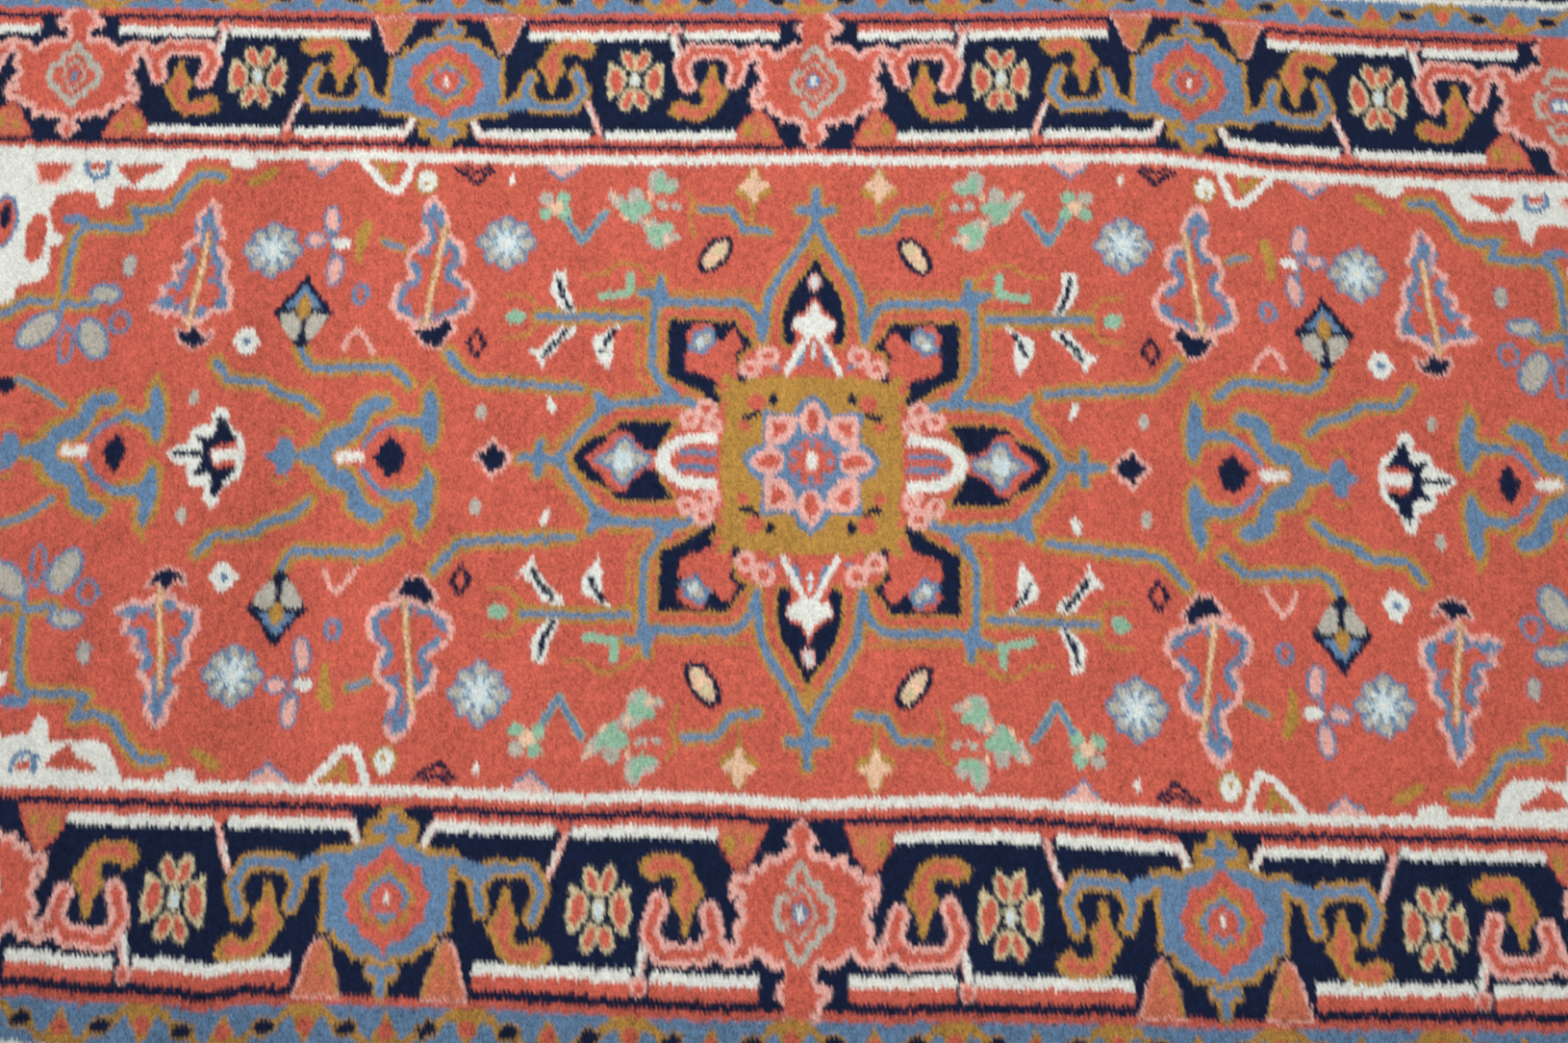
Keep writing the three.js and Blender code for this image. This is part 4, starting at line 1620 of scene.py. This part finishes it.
@dataclass
class WovenEnd:
    """One end: a strip woven plain, and the warps left beyond it as knotted and twisted locks."""

    name: str
    sign: int
    strip_width: float = 14.0
    strip_height: float = 3.0
    strip_inset: float = 1.0
    weft_wave: float = 0.25
    plain_edge: float = 0.5
    wefts: int = 9
    warps: int = 387
    edge_drop: float = 0.9
    edge_reach: float = 0.8
    gap: float = 0.3
    length: float = 46.0
    unevenness: float = 4.0
    locks: int = 95
    side_margin: float = 6.0
    reach_step: float = 2.7
    lean_step: float = 1.9
    curl_step: float = 0.83
    twist_step: float = 0.37
    root_width: float = 3.8
    root_sunk: float = 4.0
    tip_width: float = 2.2
    sway: float = 1.5
    bow: float = 2.6
    plies: int = 2
    ply_turns: float = 1.6
    ply_spread: float = 0.42
    ply_radius: float = 0.55
    flatness: float = 0.62
    knot_swelling: float = 0.3
    knot_place: float = 0.12
    knot_reach: float = 0.06
    parting: float = 0.9
    parting_start: float = 0.8
    rings: int = 8
    corners: int = 4

    def build(self, body: KnottedBody, cotton: bpy.types.Material) -> bpy.types.Object:
        """Makes the strip and all its locks as one mesh.

        Args:
            body: the body whose end it closes.
            cotton: its material.

        Returns:
            The end as an object.
        """
        inner = body.length / 2 + self.gap
        strip_points, strip_faces = self._strip(inner, body.width / 2 - self.strip_inset)
        lock_points, lock_faces = self._locks(inner + self.strip_width, body.width)
        points = np.vstack([strip_points, lock_points])
        faces = strip_faces + (lock_faces + len(strip_points)).tolist()
        if self.sign < 0:
            points = points * (-1, -1, 1)
        made = mesh_object(self.name, points, faces)
        made.data.materials.append(cotton)
        return made

    def _strip(self, inner: float, half: float) -> tuple[np.ndarray, list]:
        """The woven strip: a flat slab whose top waves over one weft and under the next.

        The wave is a cosine of the row's and the column's number together, and the top comes down
        to its edges as an exponential curve.

        Args:
            inner: where the strip starts along the rug.
            half: half its length across.

        Returns:
            Points and faces.
        """
        rows, columns = self.wefts, self.warps
        u = np.linspace(0, 1, rows)
        v = np.linspace(-half, half, columns)
        uu, vv = np.meshgrid(u, v, indexing="ij")
        edge = np.minimum(np.minimum(uu, 1 - uu) * self.strip_width, half - np.abs(vv))
        wave = self.weft_wave * np.cos(np.pi * (np.arange(rows)[:, None] + np.arange(columns)[None, :]))
        drop = self.edge_drop * np.exp(-edge / self.edge_reach)
        z = self.strip_height - self.weft_wave + wave * (edge > self.plain_edge) - drop
        top = np.stack([inner + uu * self.strip_width, vv, z], -1).reshape(-1, 3)
        bottom = top * (1, 1, 0)
        faces = grid_faces(columns, rows)[:, ::-1].tolist()
        around = [*range(columns), *(i * columns + columns - 1 for i in range(1, rows)),
                  *((rows - 1) * columns + j for j in range(columns - 2, -1, -1)),
                  *(i * columns for i in range(rows - 2, 0, -1))]
        lift = rows * columns
        order = {corner: lift + k for k, corner in enumerate(around)}
        for a, b in zip(around, around[1:] + around[:1]):
            faces.append([a, b, order[b], order[a]])
        last = (rows - 1) * columns
        for j in range(columns - 1):
            face = [order[j], order[j + 1], order[last + j + 1], order[last + j]]
            if j == 0:
                face += [order[i * columns] for i in range(rows - 2, 0, -1)]
            if j == columns - 2:
                face[2:2] = [order[i * columns + columns - 1] for i in range(1, rows - 1)]
            faces.append(face)
        return np.vstack([top, bottom[around]]), faces

    def _locks(self, start: float, width: float) -> tuple[np.ndarray, np.ndarray]:
        """The locks: two plies wound round a path that sways across, thinner towards the tip.

        Each ply is a tube round a helix whose radius is ply_spread of the lock's half width; past
        parting_start of its length the plies part. A knot, a swelling as a bell curve, sits near
        the root. From each lock to the next, the phases of its length, lean, curl and twist go on
        by the four steps, the last of them in turns.

        Args:
            start: where the strip ends.
            width: the body's width.

        Returns:
            Points and four-cornered faces.
        """
        index = np.arange(self.locks)[:, None, None, None]
        ply = np.arange(self.plies)[None, :, None, None]
        t = np.linspace(0, 1, self.rings)[None, None, :, None]
        corner = 2 * np.pi * np.arange(self.corners)[None, None, None, :] / self.corners
        pitch = (width - self.root_width - self.side_margin) / (self.locks - 1)
        root = (index - (self.locks - 1) / 2) * pitch
        short = 0.5 + 0.5 * np.sin(index * self.reach_step + self.sign)
        reach = self.length - self.unevenness * short
        lean = self.sway * np.sin(index * self.lean_step + self.sign)
        curl = self.sway * np.sin(index * self.curl_step + 2 * self.sign)
        half = (self.root_width + (self.tip_width - self.root_width) * t) / 2
        knot = 1 + self.knot_swelling * np.exp(-(((t - self.knot_place) / self.knot_reach) ** 2))
        parted = 1 + self.parting * np.clip((t - self.parting_start) / (1 - self.parting_start), 0, 1)
        turn = 2 * np.pi * (ply / self.plies + self.ply_turns * t + self.twist_step * index)
        spread = self.ply_spread * half * knot * parted
        thick = self.ply_radius * half * knot
        x = start - self.root_sunk + (reach + self.root_sunk) * t
        bend = lean * np.sin(t * self.bow) + curl * t * t
        y = root + bend + spread * np.cos(turn) + thick * np.cos(corner)
        z = self.flatness * (half * knot + spread * np.sin(turn) + thick * np.sin(corner))
        z = np.maximum(z, 0)
        x = np.broadcast_to(x, y.shape)
        points = np.stack([x, y, z], -1).reshape(-1, 3)
        tube = grid_faces(self.corners, self.rings, round_rows=True)
        cap = np.arange(self.corners)
        tube = np.vstack([tube, cap[::-1], cap + (self.rings - 1) * self.corners])
        each = self.rings * self.corners
        starts = np.arange(self.locks * self.plies) * each
        faces = (tube[None] + starts[:, None, None]).reshape(-1, 4)
        return points, faces


@dataclass(frozen=True)
class View:
    """The camera: above the near half of the rug, looking down and slightly away."""

    place_mm: tuple[float, float, float] = (-17.9, -305.1, 1130.4)
    tilt: float = 13.92
    roll: float = 1.15
    lens: float = 39.75
    sensor_mm: float = 36.0
    clip_start_m: float = 0.01

    def build(self) -> None:
        """Adds the camera and makes it the scene's."""
        tilt, roll = math.radians(self.tilt), math.radians(self.roll)
        forward = Vector((0, math.sin(tilt), -math.cos(tilt)))
        right = Vector((1, 0, 0))
        up = Vector((0, math.cos(tilt), math.sin(tilt)))
        turned_right = math.cos(roll) * right + math.sin(roll) * up
        turned_up = math.cos(roll) * up - math.sin(roll) * right
        camera = bpy.data.cameras.new("camera")
        camera.lens = self.lens
        camera.sensor_width = self.sensor_mm
        camera.sensor_fit = "HORIZONTAL"
        camera.clip_start = self.clip_start_m
        holder = bpy.data.objects.new("camera", camera)
        bpy.context.scene.collection.objects.link(holder)
        frame = Matrix((turned_right, turned_up, -forward)).transposed().to_4x4()
        holder.matrix_world = Matrix.Translation(Vector(self.place_mm) * MM) @ frame
        bpy.context.scene.camera = holder


@dataclass(frozen=True)
class Lamp:
    """One rectangular lamp that faces the middle of the rug. Its sizes are in metres and watts."""

    name: str
    place: tuple[float, float, float]
    size: Point
    watts: float

    def build(self) -> None:
        """Adds the lamp to the scene."""
        light = bpy.data.lights.new(self.name, "AREA")
        light.shape = "RECTANGLE"
        light.size, light.size_y = self.size
        light.energy = self.watts
        holder = bpy.data.objects.new(self.name, light)
        holder.location = self.place
        holder.rotation_euler = (-Vector(self.place)).to_track_quat("-Z", "Y").to_euler()
        bpy.context.scene.collection.objects.link(holder)


@dataclass(frozen=True)
class Studio:
    """A pale floor and soft light: an even room, a wide lamp overhead and one from the far side."""

    floor_colour: str = "d9d7d2"
    floor_roughness: float = 0.8
    floor_reach_mm: float = 25000.0
    floor_drop_mm: float = 0.3
    room_colour: tuple[float, float, float, float] = (0.93, 0.96, 1.0, 1.0)
    room_strength: float = 0.38
    lamps: tuple[Lamp, ...] = (
        Lamp("overhead light", (-0.12, 0.22, 1.25), (0.4, 2.0), 13.5),
        Lamp("window light", (0.3, 1.8, 1.5), (2.4, 1.2), 12.0),
    )

    def build(self) -> None:
        """Adds the floor, the room light and the lamps."""
        paint = empty_material("painted studio floor")
        looks = {"Base Color": (*linear(self.floor_colour), 1), "Roughness": self.floor_roughness}
        add(paint, "OutputMaterial", {"Surface": add(paint, "BsdfPrincipled", looks)})
        square = np.array([(-1, -1), (1, -1), (1, 1), (-1, 1)])
        corners = np.column_stack([self.floor_reach_mm * square, np.full(4, -self.floor_drop_mm)])
        floor = mesh_object("floor", corners, [[0, 1, 2, 3]], smooth=False)
        floor.data.materials.append(paint)
        world = bpy.data.worlds.new("room")
        world.use_nodes = True
        background = world.node_tree.nodes["Background"]
        background.inputs[0].default_value = self.room_colour
        background.inputs[1].default_value = self.room_strength
        bpy.context.scene.world = world
        for lamp in self.lamps:
            lamp.build()
        bpy.context.scene.view_settings.view_transform = "Standard"


def main() -> None:
    """Builds the runner on its frame, the floor, the light and the camera."""
    logging.basicConfig(level=logging.INFO, format="%(name)s: %(message)s")
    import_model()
    View().build()
    Studio().build()
    wool = DyedWool().make()
    overcast = WoundYarn("overcast navy wool yarn", "1d2a49", pitch_mm=2.6).make()
    cotton = WoundYarn("undyed twisted cotton", "d8d0bd", pitch_mm=1.9, direction=(0.8, 0.6)).make()
    body = KnottedBody()
    foundation, *strips = body.build(Pattern(), wool)
    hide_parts("pile_body")
    for piece in (foundation, *strips):
        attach(piece, "root")
        log.info("%s: %d faces", piece.name, len(piece.data.polygons))
    sides = (("overcast_far", "selvedge_far", True), ("overcast_near", "selvedge_near", False))
    for name, node, far in sides:
        cord = Selvedge(name, far).build(body, overcast)
        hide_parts(node)
        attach(cord, "root")
        log.info("%s: %d faces", cord.name, len(cord.data.polygons))
    tips = (("warp_end_right", "fringe_right", 1), ("warp_end_left", "fringe_left", -1))
    for name, node, sign in tips:
        end = WovenEnd(name, sign).build(body, cotton)
        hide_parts(node)
        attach(end, "root")
        log.info("%s: %d faces", end.name, len(end.data.polygons))
    bpy.context.view_layer.update()


if __name__ == "__main__":
    main()
